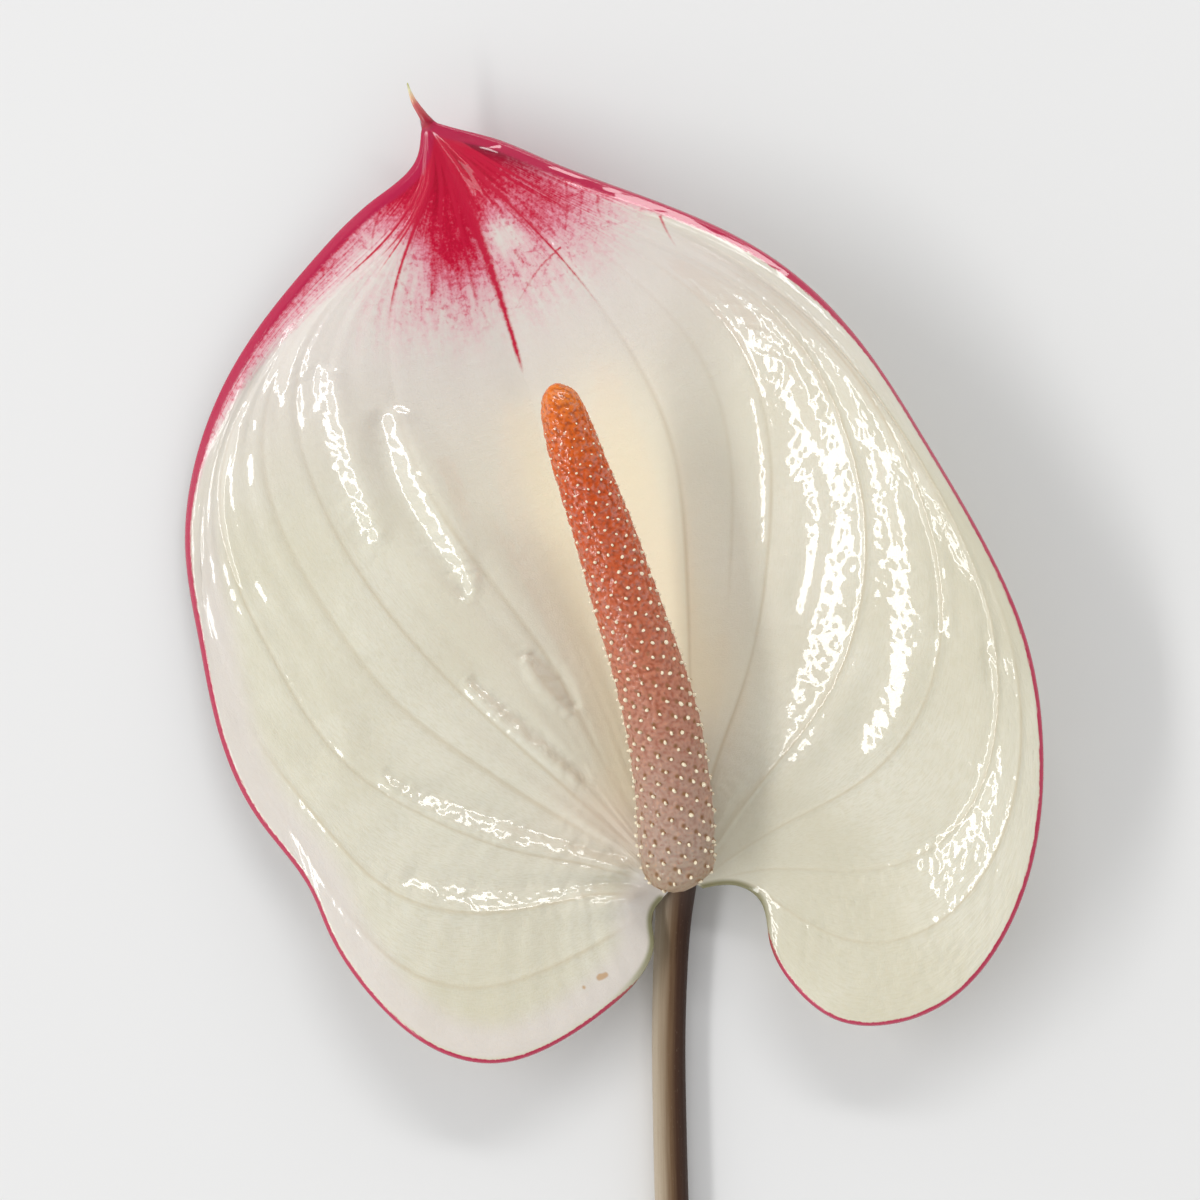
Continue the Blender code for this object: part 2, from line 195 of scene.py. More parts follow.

# Painted bounce light from the orange spadix on the blade beside it: x and y, and how far it reaches
BOUNCE_LIGHT_LINES = ((((528, 420), (560, 520), (590, 620), (618, 720), (628, 790)), 4.2),
              (((600, 400), (625, 480), (655, 570), (690, 680)), 7))

# Crimson veins: place, half width at the start and near the apex, where the colour starts and is full
RED_RIBS = ((0, 0.36, 1.1, 0.655, 0.71), (-0.18, 0.2, 0.45, 0.72, 0.82), (0.17, 0.17, 0.45, 0.65, 0.84),
            (0.32, 0.2, 0.45, 0.83, 0.9), (-0.38, 0.18, 0.4, 0.82, 0.9), (-0.09, 0.17, 0.4, 0.72, 0.85),
            (0.08, 0.17, 0.3, 0.86, 0.92), (0.25, 0.15, 0.3, 0.86, 0.92), (-0.28, 0.17, 0.35, 0.8, 0.88),
            (-0.55, 0.17, 0.3, 0.8, 0.88), (0.45, 0.17, 0.3, 0.84, 0.9), (-0.04, 0.17, 0.35, 0.74, 0.8))

# Crimson blush by distance from the apex in millimetres, and spots of blush and of the brown blemish:
# x, y, reach and strength
BLUSH_REACH = ((0, 1.6), (6, 1.35), (12, 0.9), (20, 0.45), (29, 0.16), (38, 0))
BLUSH_SPOTS = ((455, 250, 38, 0.45), (498, 234, 24, -0.55), (545, 205, 30, 0.3),
               (396, 252, 36, -0.35), (340, 285, 40, -0.15), (600, 180, 40, 0.25))
BLEMISH_SPOTS = ((600, 977, 4.5, 1), (605, 975, 4, 1), (584, 987, 3.4, 0.8))

# Blush along a margin: strength, breadth, where it broadens and where it starts, by fractions
LEFT_BAND = (0.75, 6, 0.62, 0.86, 0.58, 0.74)
RIGHT_BAND = (0.95, 5, 0.78, 0.92, 0.7, 0.86)

# Half width of the crimson line along each margin, by fractions from base to apex
LEFT_LINE = ((0, 0.3), (0.1, 0.4), (0.3, 0.45), (0.5, 0.6), (0.65, 0.8), (0.78, 1.4), (1, 1.6))
RIGHT_LINE = ((0, 0.3), (0.1, 0.4), (0.3, 0.45), (0.66, 0.5), (0.73, 0.9), (0.8, 1.2), (0.88, 1.3),
              (1, 1.5))

# Masks that go on over the drawn-out tip, and their strength there
BEYOND_APEX = {"blush": 1.1, "maroon": 0.3}

# Spathe colours in linear red, green and blue
CREAM = (0.7, 0.668, 0.525)
CREAM_PALE = (0.775, 0.75, 0.625)
CREAM_STREAK = (0.65, 0.61, 0.445)
# Painted fill light that lifts the shaded middle of the blade near the spadix
FILL_LIGHT_PALE = (0.86, 0.83, 0.7)
# Painted warm bounce light from the spadix
BOUNCE_LIGHT_YELLOW = (0.95, 0.88, 0.63)
VEIN_OLIVE_AND_SHADE = (0.56, 0.47, 0.3)
FLANK_GREY = (0.76, 0.7, 0.66)
LOBE_PEACH = (0.95, 0.76, 0.62)
BLEMISH_BROWN = (0.55, 0.3, 0.1)
BLUSH_PINK = (0.78, 0.25, 0.36)
WEB_RED = (0.62, 0.05, 0.12)
CRIMSON = (0.57, 0.004, 0.04)
DEEP_CRIMSON = (0.3, 0, 0.014)
MAROON = (0.13, 0, 0.02)
THREAD_RED = (0.56, 0.008, 0.045)
EDGE_RED = (0.48, 0.01, 0.065)
# Olive edge of the sinus, partly its own colour and partly painted shade under the base of the spadix
SINUS_OLIVE_AND_SHADE = (0.16, 0.15, 0.03)
TIP_SHADES = ((0.1, (0.4, 0.01, 0.03)), (0.5, (0.62, 0.12, 0.12)), (0.68, (0.85, 0.5, 0.3)),
              (0.85, (0.86, 0.8, 0.5)), (1, (0.45, 0.45, 0.12)))

# Spadix axis: x, y, height of the axis and radius
SPADIX_LINE = ((682, 884, 11.1, 2.6), (680, 876, 11.5, 4.3), (678, 862, 12.1, 5.1),
               (676, 842, 12.8, 5.35), (675, 815, 13.8, 5.4), (671, 776, 15.2, 5.3),
               (661, 717, 17.3, 5.2), (646, 663, 19.2, 4.95), (625, 599, 21.4, 4.65),
               (603, 531, 23.8, 4.25), (583, 475, 25.7, 3.85), (568, 430, 27.2, 3.45),
               (560, 402, 28.2, 2.7), (557, 391, 28.6, 1.6), (556.2, 387.2, 28.7, 0.8))
SPADIX_SIDES = 176
SPADIX_RINGS = 500

# Florets and stigmas at shares of the length: where they start and end, area of a cell, radius of a bead
FLORET_START = 0.006
FLORET_END = 0.95
STIGMA_END = 0.93
FLORET_AREA = ((0, 4.6), (0.35, 4), (0.7, 3), (1, 2.2))
STIGMA_RADIUS = ((0, 0.3), (0.3, 0.3), (0.6, 0.24), (0.85, 0.16), (0.93, 0.11))
BEAD_RINGS = 6
BEAD_SIDES = 12
GOLDEN_TURN = math.pi * (3 - math.sqrt(5))
# Painted light on each stigma: cream on the side that faces the lights, to the left, towards the base and
# up, golden brown elsewhere
STIGMA_LIT_SIDE = np.array((-0.55, -0.35, 0.3))
STIGMA_BROWN = (0.3, 0.13, 0.03)
STIGMA_LIT_CREAM = (0.9, 0.8, 0.58)
# Painted shade in the crevices between the granules, and a painted rosy highlight on their tops
CREVICE_SHADE_BROWN = (0.3, 0.06, 0.02)
GRAIN_TOP_HIGHLIGHT = (0.82, 0.4, 0.22)
SPECK_BROWN = (0.3, 0.1, 0.05)
PIT_BROWN = (0.22, 0.1, 0.03)
SPADIX_SHADES = ((0, (0.4, 0.3, 0.2)), (0.08, (0.46, 0.34, 0.27)), (0.26, (0.48, 0.27, 0.2)),
                 (0.44, (0.53, 0.19, 0.115)), (0.62, (0.57, 0.115, 0.045)), (0.8, (0.6, 0.085, 0.016)),
                 (0.93, (0.7, 0.13, 0.014)), (1, (0.76, 0.19, 0.02)))

# Stem axis from the cut end to the blade: x and y in millimetres, height and radius; then the slant of
# the cut, and its rings by share of the radius and strength of the pith colour
STEM_LINE = ((40.6, -388, 2.75, 2.75), (31.2, -345, 2.7, 2.7), (18.6, -275, 2.62, 2.62),
             (8.6, -200, 2.55, 2.55), (2.4, -130, 2.5, 2.5), (-0.5, -75, 2.45, 2.45),
             (-1.4, -46, 2.42, 2.42), (-1.8, -28, 2.4, 2.4), (-1.5, -12, 2.5, 2.5),
             (-1.1, -6, 2.75, 2.65), (-0.8, -2.6, 3, 2.85), (-0.5, 1.2, 3.15, 2.85),
             (-0.4, 3.4, 3.2, 2.5))
STEM_SIDES = 64
STEM_RINGS = 520
CUT_SLANT = 0.9
CUT_RINGS = ((0.97, 0.6), (0.7, 1), (0.4, 1))
STEM_SPECK = (0.25, 0.18, 0.13)
STEM_TOP = (0.1, 0.07, 0.062)
PITH_GREEN = (0.5, 0.55, 0.3)
PITH_PALE = (0.66, 0.68, 0.45)
# Painted shade across the stalk by the angle around it: light taupe on the lit left side, dark brown on
# the shaded right side
STEM_LIT_TO_SHADED = ((0.08, (0.47, 0.39, 0.29)), (0.3, (0.31, 0.235, 0.155)), (0.5, (0.165, 0.1, 0.054)),
               (0.7, (0.062, 0.028, 0.015)), (0.9, (0.035, 0.013, 0.006)))

# Ground, and the lights aimed at the middle of the blade, metres
FLOOR_REACH = 20
FLOOR_DARK = (0.82, 0.82, 0.817)
FLOOR_PALE = (0.84, 0.84, 0.837)
LIGHT_TARGET = (0, 0.17, 0.01)
LIGHT_DISTANCE = 3
LIGHT_GLOW = 8.5

# Camera looking straight down, the width of ground it shows and its height
VIEW_CENTRE = (600, 600)
VIEW_WIDTH = 0.168
VIEW_PLANE = 0.009
VIEW_HEIGHT = 1.6
SENSOR_WIDTH = 36


def plan_point(x, y, height=0):
    """A drawn grid point and a height as millimetres from the blade base."""
    return ((x - GRID_ZERO[0]) * GRID_STEP, (GRID_ZERO[1] - y) * GRID_STEP, height)


def flat_point(x, y):
    return np.array(plan_point(x, y))[:2]


def even(count):
    return np.linspace(0, 1, count)


def ease_in(low, high, value):
    """Nought below low, one above high and smooth between."""
    share = np.clip((np.asarray(value, float) - low) / (high - low), 0, 1)
    return share * share * (3 - 2 * share)


def ease_out(low, high, value):
    return 1 - ease_in(low, high, value)


def bell(value):
    return np.exp(-value ** 2)


def table_value(table, places):
    return np.interp(places, *zip(*table))


def run_along(points):
    """Distance along a line at each of its points."""
    return np.concatenate(([0], np.cumsum(np.linalg.norm(np.diff(points, axis=0), axis=1))))


def hash_angle(ix, iy, seed):
    """An angle for every lattice corner that looks random and never changes."""
    mixed = ix.astype(np.uint32) * np.uint32(374761393) + iy.astype(np.uint32) * np.uint32(668265263)
    mixed = mixed + np.uint32(seed * 69069 + 1)
    mixed = (mixed ^ (mixed >> np.uint32(13))) * np.uint32(1274126177)
    mixed = mixed ^ (mixed >> np.uint32(16))
    return mixed.astype(np.float64) / 2 ** 32 * 2 * math.pi


def soft_noise(x, y, seed):
    """Gradient noise between about -1 and 1."""
    ix = np.floor(x).astype(np.int64)
    iy = np.floor(y).astype(np.int64)
    fx = x - ix
    fy = y - iy
    ux, uy = (f * f * f * (f * (f * 6 - 15) + 10) for f in (fx, fy))
    corners = []
    for dx, dy in ((0, 0), (1, 0), (0, 1), (1, 1)):
        angle = hash_angle(ix + dx, iy + dy, seed)
        corners.append(np.cos(angle) * (fx - dx) + np.sin(angle) * (fy - dy))
    low = corners[0] + (corners[1] - corners[0]) * ux
    high = corners[2] + (corners[3] - corners[2]) * ux
    return (low + (high - low) * uy) * 1.6


def natural_spline(points, fractions):
    """Points at even fractions of the way along a smooth line through the given points."""
    points = np.array(points, float)
    places = run_along(points[:, :2])
    places /= places[-1]
    count = len(points)
    gaps = np.diff(places)
    rises = np.diff(points, axis=0) / gaps[:, None]
    system = np.eye(count)
    target = np.zeros(points.shape)
    for row in range(1, count - 1):
        before, after = gaps[row - 1:row + 1]
        system[row, row - 1:row + 2] = before, 2 * (before + after), after
        target[row] = 6 * (rises[row] - rises[row - 1])
    bends = np.linalg.solve(system, target)
    fine = even(SPLINE_SAMPLES)
    spans = np.clip(np.searchsorted(places, fine, side="right") - 1, 0, count - 2)
    width = gaps[spans][:, None]
    left = (places[spans + 1] - fine)[:, None] / width
    right = (fine - places[spans])[:, None] / width
    curve = left * points[spans] + right * points[spans + 1]
    bend = (left ** 3 - left) * bends[spans] + (right ** 3 - right) * bends[spans + 1]
    curve += bend * width ** 2 / 6
    run = run_along(curve[:, :2])
    run /= run[-1]
    return np.stack([np.interp(fractions, run, values) for values in curve.T], axis=1)


def drawn_path(line):
    """Even plan samples of a smooth line through drawn points."""
    return natural_spline([plan_point(x, y) for x, y in line], even(PATH_SAMPLES))[:, :2]


def fold_path(line, fractions):
    """Samples along a fold: x, y and half width, millimetres."""
    return natural_spline([plan_point(x, y)[:2] + (half * GRID_STEP,) for x, y, half in line], fractions)


def closest_sample(points, line):
    """Number of the sample of a line that is closest to each plan point."""
    squares = (points ** 2).sum(axis=1)[:, None] + (line ** 2).sum(axis=1) - 2 * points @ line.T
    return np.argmin(squares, axis=1)


def blend_across(knots, values, places):
    """Smooth values between the knots without overshoot."""
    gaps = np.diff(knots)[:, None, None]
    rises = np.diff(values, axis=0) / gaps
    slopes = np.zeros(values.shape)
    slopes[0] = rises[0]
    slopes[-1] = rises[-1]
    same_sign = rises[:-1] * rises[1:] > 0
    weight_before = 2 * gaps[1:] + gaps[:-1]
    weight_after = gaps[1:] + 2 * gaps[:-1]
    safe_before = np.where(same_sign, rises[:-1], 1)
    safe_after = np.where(same_sign, rises[1:], 1)
    mean = (weight_before + weight_after) / (weight_before / safe_before + weight_after / safe_after)
    slopes[1:-1] = np.where(same_sign, mean, 0)
    result = []
    for place in places:
        span = min(max(int(np.searchsorted(knots, place, side="right")) - 1, 0), len(knots) - 2)
        gap = knots[span + 1] - knots[span]
        u = (place - knots[span]) / gap
        start = (1 + 2 * u) * (1 - u) ** 2 * values[span]
        end = u * u * (3 - 2 * u) * values[span + 1]
        lean = gap * u * (1 - u) * ((1 - u) * slopes[span] - u * slopes[span + 1])
        result.append(start + end + lean)
    return np.array(result)


def vein_line(place, points, fractions):
    """A vein line drawn on to the base and the apex of the blade."""
    share = (place + 1) / 2
    base, apex = (np.array(plan_point(*left)) * (1 - share) + np.array(plan_point(*right)) * share
                  for left, right in (BASE_ENDS, APEX_ENDS))
    base[1] += BASE_BULGE * 4 * share * (1 - share)
    return natural_spline([base] + [plan_point(*point) for point in points] + [apex], fractions)


def blade_middle(places):
    """Middle surface of the blade as a grid of places across and rows along."""
    lines = np.array([vein_line(place, points, even(BLADE_ROWS)) for place, points in VEIN_LINES])
    return blend_across(np.array([entry[0] for entry in VEIN_LINES]), lines, places)


def margin_distance(surface, margin):
    """Plan distance of every grid place to one margin."""
    line = margin[:, :2]
    steps = np.diff(line, axis=0)
    lengths = np.maximum((steps ** 2).sum(axis=1), 1e-12)
    distance = np.full(surface.shape[:2], 1e9)
    for column, points in enumerate(surface[:, :, :2]):
        closest = closest_sample(points, line)
        for shift in (-1, 0):
            start = np.clip(closest + shift, 0, len(steps) - 1)
            gap = points - line[start]
            share = np.clip((gap * steps[start]).sum(axis=1) / lengths[start], 0, 1)
            away = np.linalg.norm(gap - share[:, None] * steps[start], axis=1)
            distance[column] = np.minimum(distance[column], away)
    return distance


def rim_drop(inset, radius):
    """How far a round rim of the given radius has turned down at each inset."""
    turned = np.clip(1 - inset / radius, 0, RIM_REACH)
    return radius * (1 - np.sqrt(1 - turned ** 2))


def turn_rims(surface, left_edge, right_edge):
    """Curve both margins down by the radius of their rim."""
    for inset, table in ((left_edge, LEFT_RIM), (right_edge, RIGHT_RIM)):
        surface[:, :, 2] -= rim_drop(inset, table_value(table, even(BLADE_ROWS)))


def shine_rim(surface, right_edge):
    """Reshape the upper right rim into a narrow bevel that leans towards the apex side."""
    fractions = even(BLADE_ROWS)
    tangent = np.gradient(surface[-1, :, :2], axis=0)
    steps = np.linalg.norm(tangent, axis=1)
    tangent /= steps[:, None]
    half = len(surface) // 2
    inset = right_edge[half:]
    height = surface[half:, :, 2]
    start = [np.interp(SHINE_START, inset[::-1, row], height[::-1, row]) for row in range(BLADE_ROWS)]
    weights = bell((fractions[:, None] - fractions) / SHINE_BLUR)
    start = weights @ start / weights.sum(axis=1)
    climb = np.gradient(start) / steps
    leans = (TOP_SLOPE + climb * tangent[:, 1]) / np.maximum(-tangent[:, 0], 0.4)
    leans = np.clip(leans - table_value(SHINE_THINNING, fractions), -0.4, 1)
    depth = np.linspace(0, SHINE_START, 200)
    bevel = np.zeros(inset.shape)
    for row in range(BLADE_ROWS):
        slope = leans[row] * ease_out(SHINE_INNER, SHINE_START, depth)
        slope += (SHINE_STEEP - leans[row]) * ease_out(0, SHINE_OUTER, depth)
        drop = np.cumsum(slope[::-1])[::-1] * (depth[1] - depth[0])
        bevel[:, row] = start[row] - np.interp(inset[:, row], depth, drop, right=0)
    plain = rim_drop(inset, table_value(RIGHT_RIM, fractions))
    inside = ease_out(SHINE_START - 0.5, SHINE_START + 0.5, inset)
    height += table_value(SHINE_SHARE, fractions) * (inside * (bevel - height) + plain)


def grid_normals(surface):
    """Normals of a grid, upright at its first row and more its own over the next rows."""
    normals = np.cross(np.gradient(surface, axis=0), np.gradient(surface, axis=1))
    normals /= np.linalg.norm(normals, axis=2)[:, :, None]
    level = np.clip(1 - np.arange(surface.shape[1]) / LEVEL_ROWS, 0, 1)[None, :, None]
    normals = normals * (1 - level) + UPRIGHT * level
    return normals / np.linalg.norm(normals, axis=2)[:, :, None]


def vein_spread(surface, places):
    """Millimetres square across the veins for each unit of place."""
    plan = surface[:, :, :2]
    over = np.gradient(plan, places, axis=0)
    down = np.gradient(plan, axis=1)
    area = np.abs(over[:, :, 0] * down[:, :, 1] - over[:, :, 1] * down[:, :, 0])
    return area / np.maximum(np.linalg.norm(down, axis=2), 1e-6)


def along_veins(surface):
    """A measure that grows from base to apex square to the veins, in millimetres at mid blade."""
    from_base, from_apex = (np.linalg.norm(surface[:, :, :2] - flat_point(x, y), axis=2) + 3
                            for x, y in ((682, 893), (429, 128)))
    return ALONG_SCALE * np.log(from_base / from_apex)


def vein_fade(start, end, fractions):
    """Full between two fractions of the way to the apex and soft at both."""
    fade = ease_in(start - RELIEF_FADE, start + RELIEF_FADE, fractions)
    return fade * ease_out(end - RELIEF_FADE, end + RELIEF_FADE, fractions)


def blade_relief(places, spread):
    """Heights of vein cords and valleys over the blade grid."""
    relief = np.zeros(spread.shape)
    for place, width, height, start, end in RELIEF:
        apart = (places - place)[:, None] * spread / width
        relief += height * vein_fade(start, end, even(BLADE_ROWS)) * np.exp(-0.5 * apart ** 2)
    return relief


def plan_noise(surface, size, seed):
    return soft_noise(surface[:, :, 0] / size, surface[:, :, 1] / size, seed)


def blade_ribs(places, along, surface):
    """Soft ribs that follow the veins, and broad uneven swells."""
    over = places[:, None]
    ribs = soft_noise(over * 9 + 0.3 * np.sin(along / 30), along / 60, 3)
    ribs += 0.55 * soft_noise(over * 24, along / 40, 4)
    strength = 0.2 * ease_in(-0.12, -0.3, over) + 0.14
    relief = strength * ribs * ease_out(0.6, 0.85, np.abs(over))
    crossing = soft_noise((along + 0.5 * over * ALONG_SCALE) / 4.2, over * 3.2, 10)
    relief += 0.13 * crossing * ease_in(-0.3, -0.55, over)
    return relief + 0.16 * plan_noise(surface, 13, 9)


def blade_wrinkles(places, along, surface, nearness):
    """Fine barbed wrinkles that lean away from the veins, rougher by the folds and on one lobe."""
    over = places[:, None] * ALONG_SCALE
    lean = np.sign(np.sin(places * 19))[:, None]
    wide = plan_noise(surface, 6, 12)
    slanted = along + 0.8 * lean * over + 1.5 * wide + 1.1 * plan_noise(surface, 2.7, 13)
    barbs = 0.035 * soft_noise(slanted / 2.6, over / 6, 5)
    barbs += 0.075 * (0.5 - np.abs(soft_noise(slanted / 1.7, over / 6.5, 6)))
    barbs += 0.035 * (0.5 - np.abs(soft_noise(slanted / 0.9 + 3.1, over / 4, 16)))
    crossing = along - 0.9 * lean * over - 1.5 * wide
    creases = np.abs(soft_noise(crossing / 2.2, over / 3.4, 7))
    creases = (1 - np.clip(creases * 4, 0, 1)) ** 2
    grain = plan_noise(surface, 0.85, 14) + 0.8 * plan_noise(surface, 1.5, 15)
    lobe = np.exp(-((surface[:, :, 0] - 31) ** 2 + (surface[:, :, 1] + 6) ** 2) / 15 ** 2)
    flanks = ease_in(0.25, 0.42, places)[:, None] + 0.5 * ease_in(0.55, 0.8, -places)[:, None]
    left_side = ease_in(0, 0.2, -places)[:, None]
    rough = 0.5 + 0.4 * flanks + (0.7 + 1.1 * left_side) * nearness + 1.8 * lobe
    patch = ease_in(-0.6, 0.3, plan_noise(surface, 11, 8))
    return (barbs - 0.05 * creases + 0.02 * grain) * rough * (0.55 + 0.45 * patch)


def fold_relief(surface, lines, axis, sign, slope):
    """Heights of folds that bring the slope along their middle to the given value."""
    plan = surface[:, :, :2].reshape(-1, 2)
    normals = grid_normals(surface)
    lean = (-normals[:, :, :2] / normals[:, :, 2:]).reshape(-1, 2)
    relief = np.zeros(len(plan))
    shares = even(FOLD_SAMPLES)
    gaps = shares[:, None] - shares
    soft = bell(gaps / 0.05)
    soft /= soft.sum(axis=1)[:, None]
    ends = np.minimum(1, 8 * np.minimum(shares, 1 - shares))[:, None]
    for line in lines:
        samples = fold_path(line, shares)
        path = samples[:, :2] * (1 - ends) + (soft @ samples[:, :2]) * ends
        half = soft @ np.maximum(samples[:, 2], 0.25) * 1.1
        reach = 5 * half.max()
        near = np.all((plan > path.min(axis=0) - reach) & (plan < path.max(axis=0) + reach), axis=1)
        spots = np.nonzero(near)[0]
        tangent = soft @ np.gradient(path, axis=0)
        tangent /= np.linalg.norm(tangent, axis=1)[:, None]
        upward = np.stack((-tangent[:, 1], tangent[:, 0]), axis=1)
        upward *= np.sign(upward[:, axis] * sign)[:, None]
        closest = closest_sample(plan[spots], path)
        apart = plan[spots] - path[closest]
        width = half[closest]
        over = (apart * upward[closest]).sum(axis=1)
        beyond = (apart * tangent[closest]).sum(axis=1)
        weight = np.exp(-(over / (0.45 * width)) ** 2 - (beyond / width) ** 2)
        total = np.bincount(closest, weight, FOLD_SAMPLES)
        present = np.bincount(closest, weight * lean[spots, axis], FOLD_SAMPLES) / np.maximum(total, 1e-6)
        smooth = bell(gaps / 0.03) * total
        present = (smooth @ present) / smooth.sum(axis=1)
        steep = (sign * slope - present) / upward[:, axis]
        steep = np.clip(soft @ steep, -0.35, 0.4)
        steep *= ease_in(0, 0.1, shares) * ease_out(0.9, 1, shares)
        rate = over / width
        shape = rate / (1 + rate ** 6) ** (1 / 6)
        shape = shape * np.exp(-(rate / 2.4) ** 4 - (beyond / (1.5 * width)) ** 2)
        relief[spots] += steep[closest] * width * shape
    return relief.reshape(surface.shape[:2])


def fold_nearness(surface, lines):
    """How close each place is to the middle of a fold, against the width of the fold."""
    nearness = np.zeros(surface.shape[:2])
    for line in lines:
        for x, y, half in fold_path(line, even(50)):
            away = (surface[:, :, 0] - x) ** 2 + (surface[:, :, 1] - y) ** 2
            nearness = np.maximum(nearness, np.exp(-away / (1.6 * half + 0.6) ** 2))
    return nearness


def add_cusp(surface):
    """Rows beyond the apex that draw the blade out to a round point, and their half widths."""
    drawn = [plan_point(x, y, height) + (half,) for x, y, height, half in CUSP_LINE]
    line = natural_spline(drawn, even(CUSP_ROWS + 1))[1:]
    across = np.sin(np.linspace(-1, 1, BLADE_COLUMNS) * math.pi / 2)
    direction = surface[-1, -1] - surface[0, -1]
    direction /= np.linalg.norm(direction)
    rows = [point[None, :3] + across[:, None] * point[3] * direction[None, :] for point in line]
    return np.concatenate((surface, np.array(rows).transpose(1, 0, 2)), axis=1), line[:, 3]


def sheet_mesh(top, bottom, open_side):
    """Faces of half a sheet: a fine top grid, a coarser underside and a rim, left open on one side."""
    columns, rows = top.shape[:2]
    fine = np.arange(columns * rows).reshape(columns, rows)
    low_columns, low_rows = bottom.shape[:2]
    low = np.arange(low_columns * low_rows).reshape(low_columns, low_rows) + columns * rows
    upper = np.stack((fine[:-1, :-1], fine[1:, :-1], fine[1:, 1:], fine[:-1, 1:]), axis=-1)
    lower = np.stack((low[:-1, :-1], low[:-1, 1:], low[1:, 1:], low[1:, :-1]), axis=-1)
    faces = upper.reshape(-1, 4).tolist() + lower.reshape(-1, 4).tolist()
    step = UNDER_STEP
    sides = {"base": [(i, 0) for i in range(0, columns, step)],
             "right": [(columns - 1, j) for j in range(0, rows, step)],
             "apex": [(i, rows - 1) for i in range(columns - 1, -1, -step)],
             "left": [(0, j) for j in range(rows - 1, -1, -step)]}
    del sides[open_side]
    for stops in sides.values():
        for (i0, j0), (i1, j1) in zip(stops, stops[1:]):
            spots = []
            for index in range(step + 1):
                spots.append(int(fine[i0 + (i1 - i0) * index // step, j0 + (j1 - j0) * index // step]))
            here = int(low[i0 // step, j0 // step])
            there = int(low[i1 // step, j1 // step])
            for index in range(step):
                corner = here if index < step // 2 else there
                faces.append((spots[index + 1], spots[index], corner))
            faces.append((spots[step // 2], here, there))
    return np.concatenate((top.reshape(-1, 3), bottom.reshape(-1, 3))), faces


def make_piece(name, points, faces, node, material, attributes, plan=None):
    """A smooth mesh that stands for one node of the part, with masks that its material reads."""
    mesh = bpy.data.meshes.new(name)
    mesh.from_pydata(((np.asarray(points) + CENTRE_SHIFT) * MM).tolist(), [], faces)
    mesh.polygons.foreach_set("use_smooth", [True] * len(mesh.polygons))
    for label, values in attributes.items():
        attribute = mesh.attributes.new(label, "FLOAT", "POINT")
        attribute.data.foreach_set("value", np.asarray(values, np.float32))
    if plan is not None:
        layer = mesh.uv_layers.new(name="skin")
        corners = np.zeros(len(mesh.loops), np.int32)
        mesh.loops.foreach_get("vertex_index", corners)
        layer.data.foreach_set("uv", np.asarray(plan, np.float32)[corners].ravel())
    mesh.materials.append(material)
    piece = bpy.data.objects.new(name, mesh)
    bpy.context.scene.collection.objects.link(piece)
    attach(piece, "root")
    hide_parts(node)


class Nodes:
    """Short ways to add shader nodes to one material or world."""

    def __init__(self, owner, shader="Principled BSDF"):
        owner.use_nodes = True
        self.owner = owner
        self.tree = owner.node_tree
        self.shader = self.tree.nodes[shader]

    def node(self, kind, inputs=None, **settings):
        made = self.tree.nodes.new(kind)
        for key, value in settings.items():
            setattr(made, key, value)
        for key, value in (inputs or {}).items():
            self.feed(value, made.inputs[key])
        return made

    def feed(self, value, socket):
        if isinstance(value, bpy.types.NodeSocket):
            self.tree.links.new(value, socket)
        elif socket.type == "RGBA":
            socket.default_value = (*value, 1)
        else:
            socket.default_value = value

    def place(self, kind="Object"):
        return self.node("ShaderNodeTexCoord").outputs[kind]

    def skin(self):
        return self.node("ShaderNodeUVMap", uv_map="skin").outputs["UV"]

    def attribute(self, label):
        return self.node("ShaderNodeAttribute", attribute_name=label).outputs["Fac"]

    def math(self, operation, first, second, kind="ShaderNodeMath"):
        return self.node(kind, {0: first, 1: second}, operation=operation).outputs[0]

    def times(self, first, second):
        return self.math("MULTIPLY", first, second)

    def plus(self, first, second):
        return self.math("ADD", first, second)

    def swing(self, value, amount):
        """A value around one half as a swing around nought."""
        return self.times(self.math("SUBTRACT", value, 0.5), amount)

    def span(self, value, low, high, to_low=0, to_high=1, kind="SMOOTHSTEP"):
        inputs = {"Value": value, "From Min": low, "From Max": high, "To Min": to_low, "To Max": to_high}
        return self.node("ShaderNodeMapRange", inputs, interpolation_type=kind).outputs["Result"]

    def mix(self, share, first, second):
        return self.node("ShaderNodeMix", {0: share, 6: first, 7: second}, data_type="RGBA").outputs[2]

    def coats(self, colour, *layers):
        """Tints laid over a colour one after another, each with its share."""
        for share, tint in layers:
            colour = self.mix(share, colour, tint)
        return colour

    def ramp(self, value, shades):
        """Colours at positions along a value."""
        made = self.node("ShaderNodeValToRGB", {"Fac": value})
        stops = made.color_ramp.elements
        for stop, (position, shade) in ((stops[0], shades[0]), (stops[1], shades[-1])):
            stop.position = position
            stop.color = (*shade, 1)
        for position, shade in shades[1:-1]:
            stops.new(position).color = (*shade, 1)
        return made.outputs["Color"]

    def noise(self, source, scale, detail=3, rough=0.55, twist=0):
        inputs = {"Vector": source, "Scale": scale, "Detail": detail, "Roughness": rough}
        return self.node("ShaderNodeTexNoise", inputs | {"Distortion": twist}).outputs["Fac"]

    def stretched(self, source, scale, *settings):
        """Noise with its own scale on each axis."""
        scaled = self.node("ShaderNodeMapping", {"Vector": source, "Scale": (*scale, 1)})
        return self.noise(scaled.outputs["Vector"], 1, *settings)

    def bump(self, height, distance, strength, below=None):
        inputs = {"Height": height, "Distance": distance, "Strength": strength}
        if below is not None:
            inputs["Normal"] = below
        return self.node("ShaderNodeBump", inputs).outputs["Normal"]

    def set(self, **values):
        for key, value in values.items():
            self.feed(value, self.shader.inputs[key.replace("_", " ")])


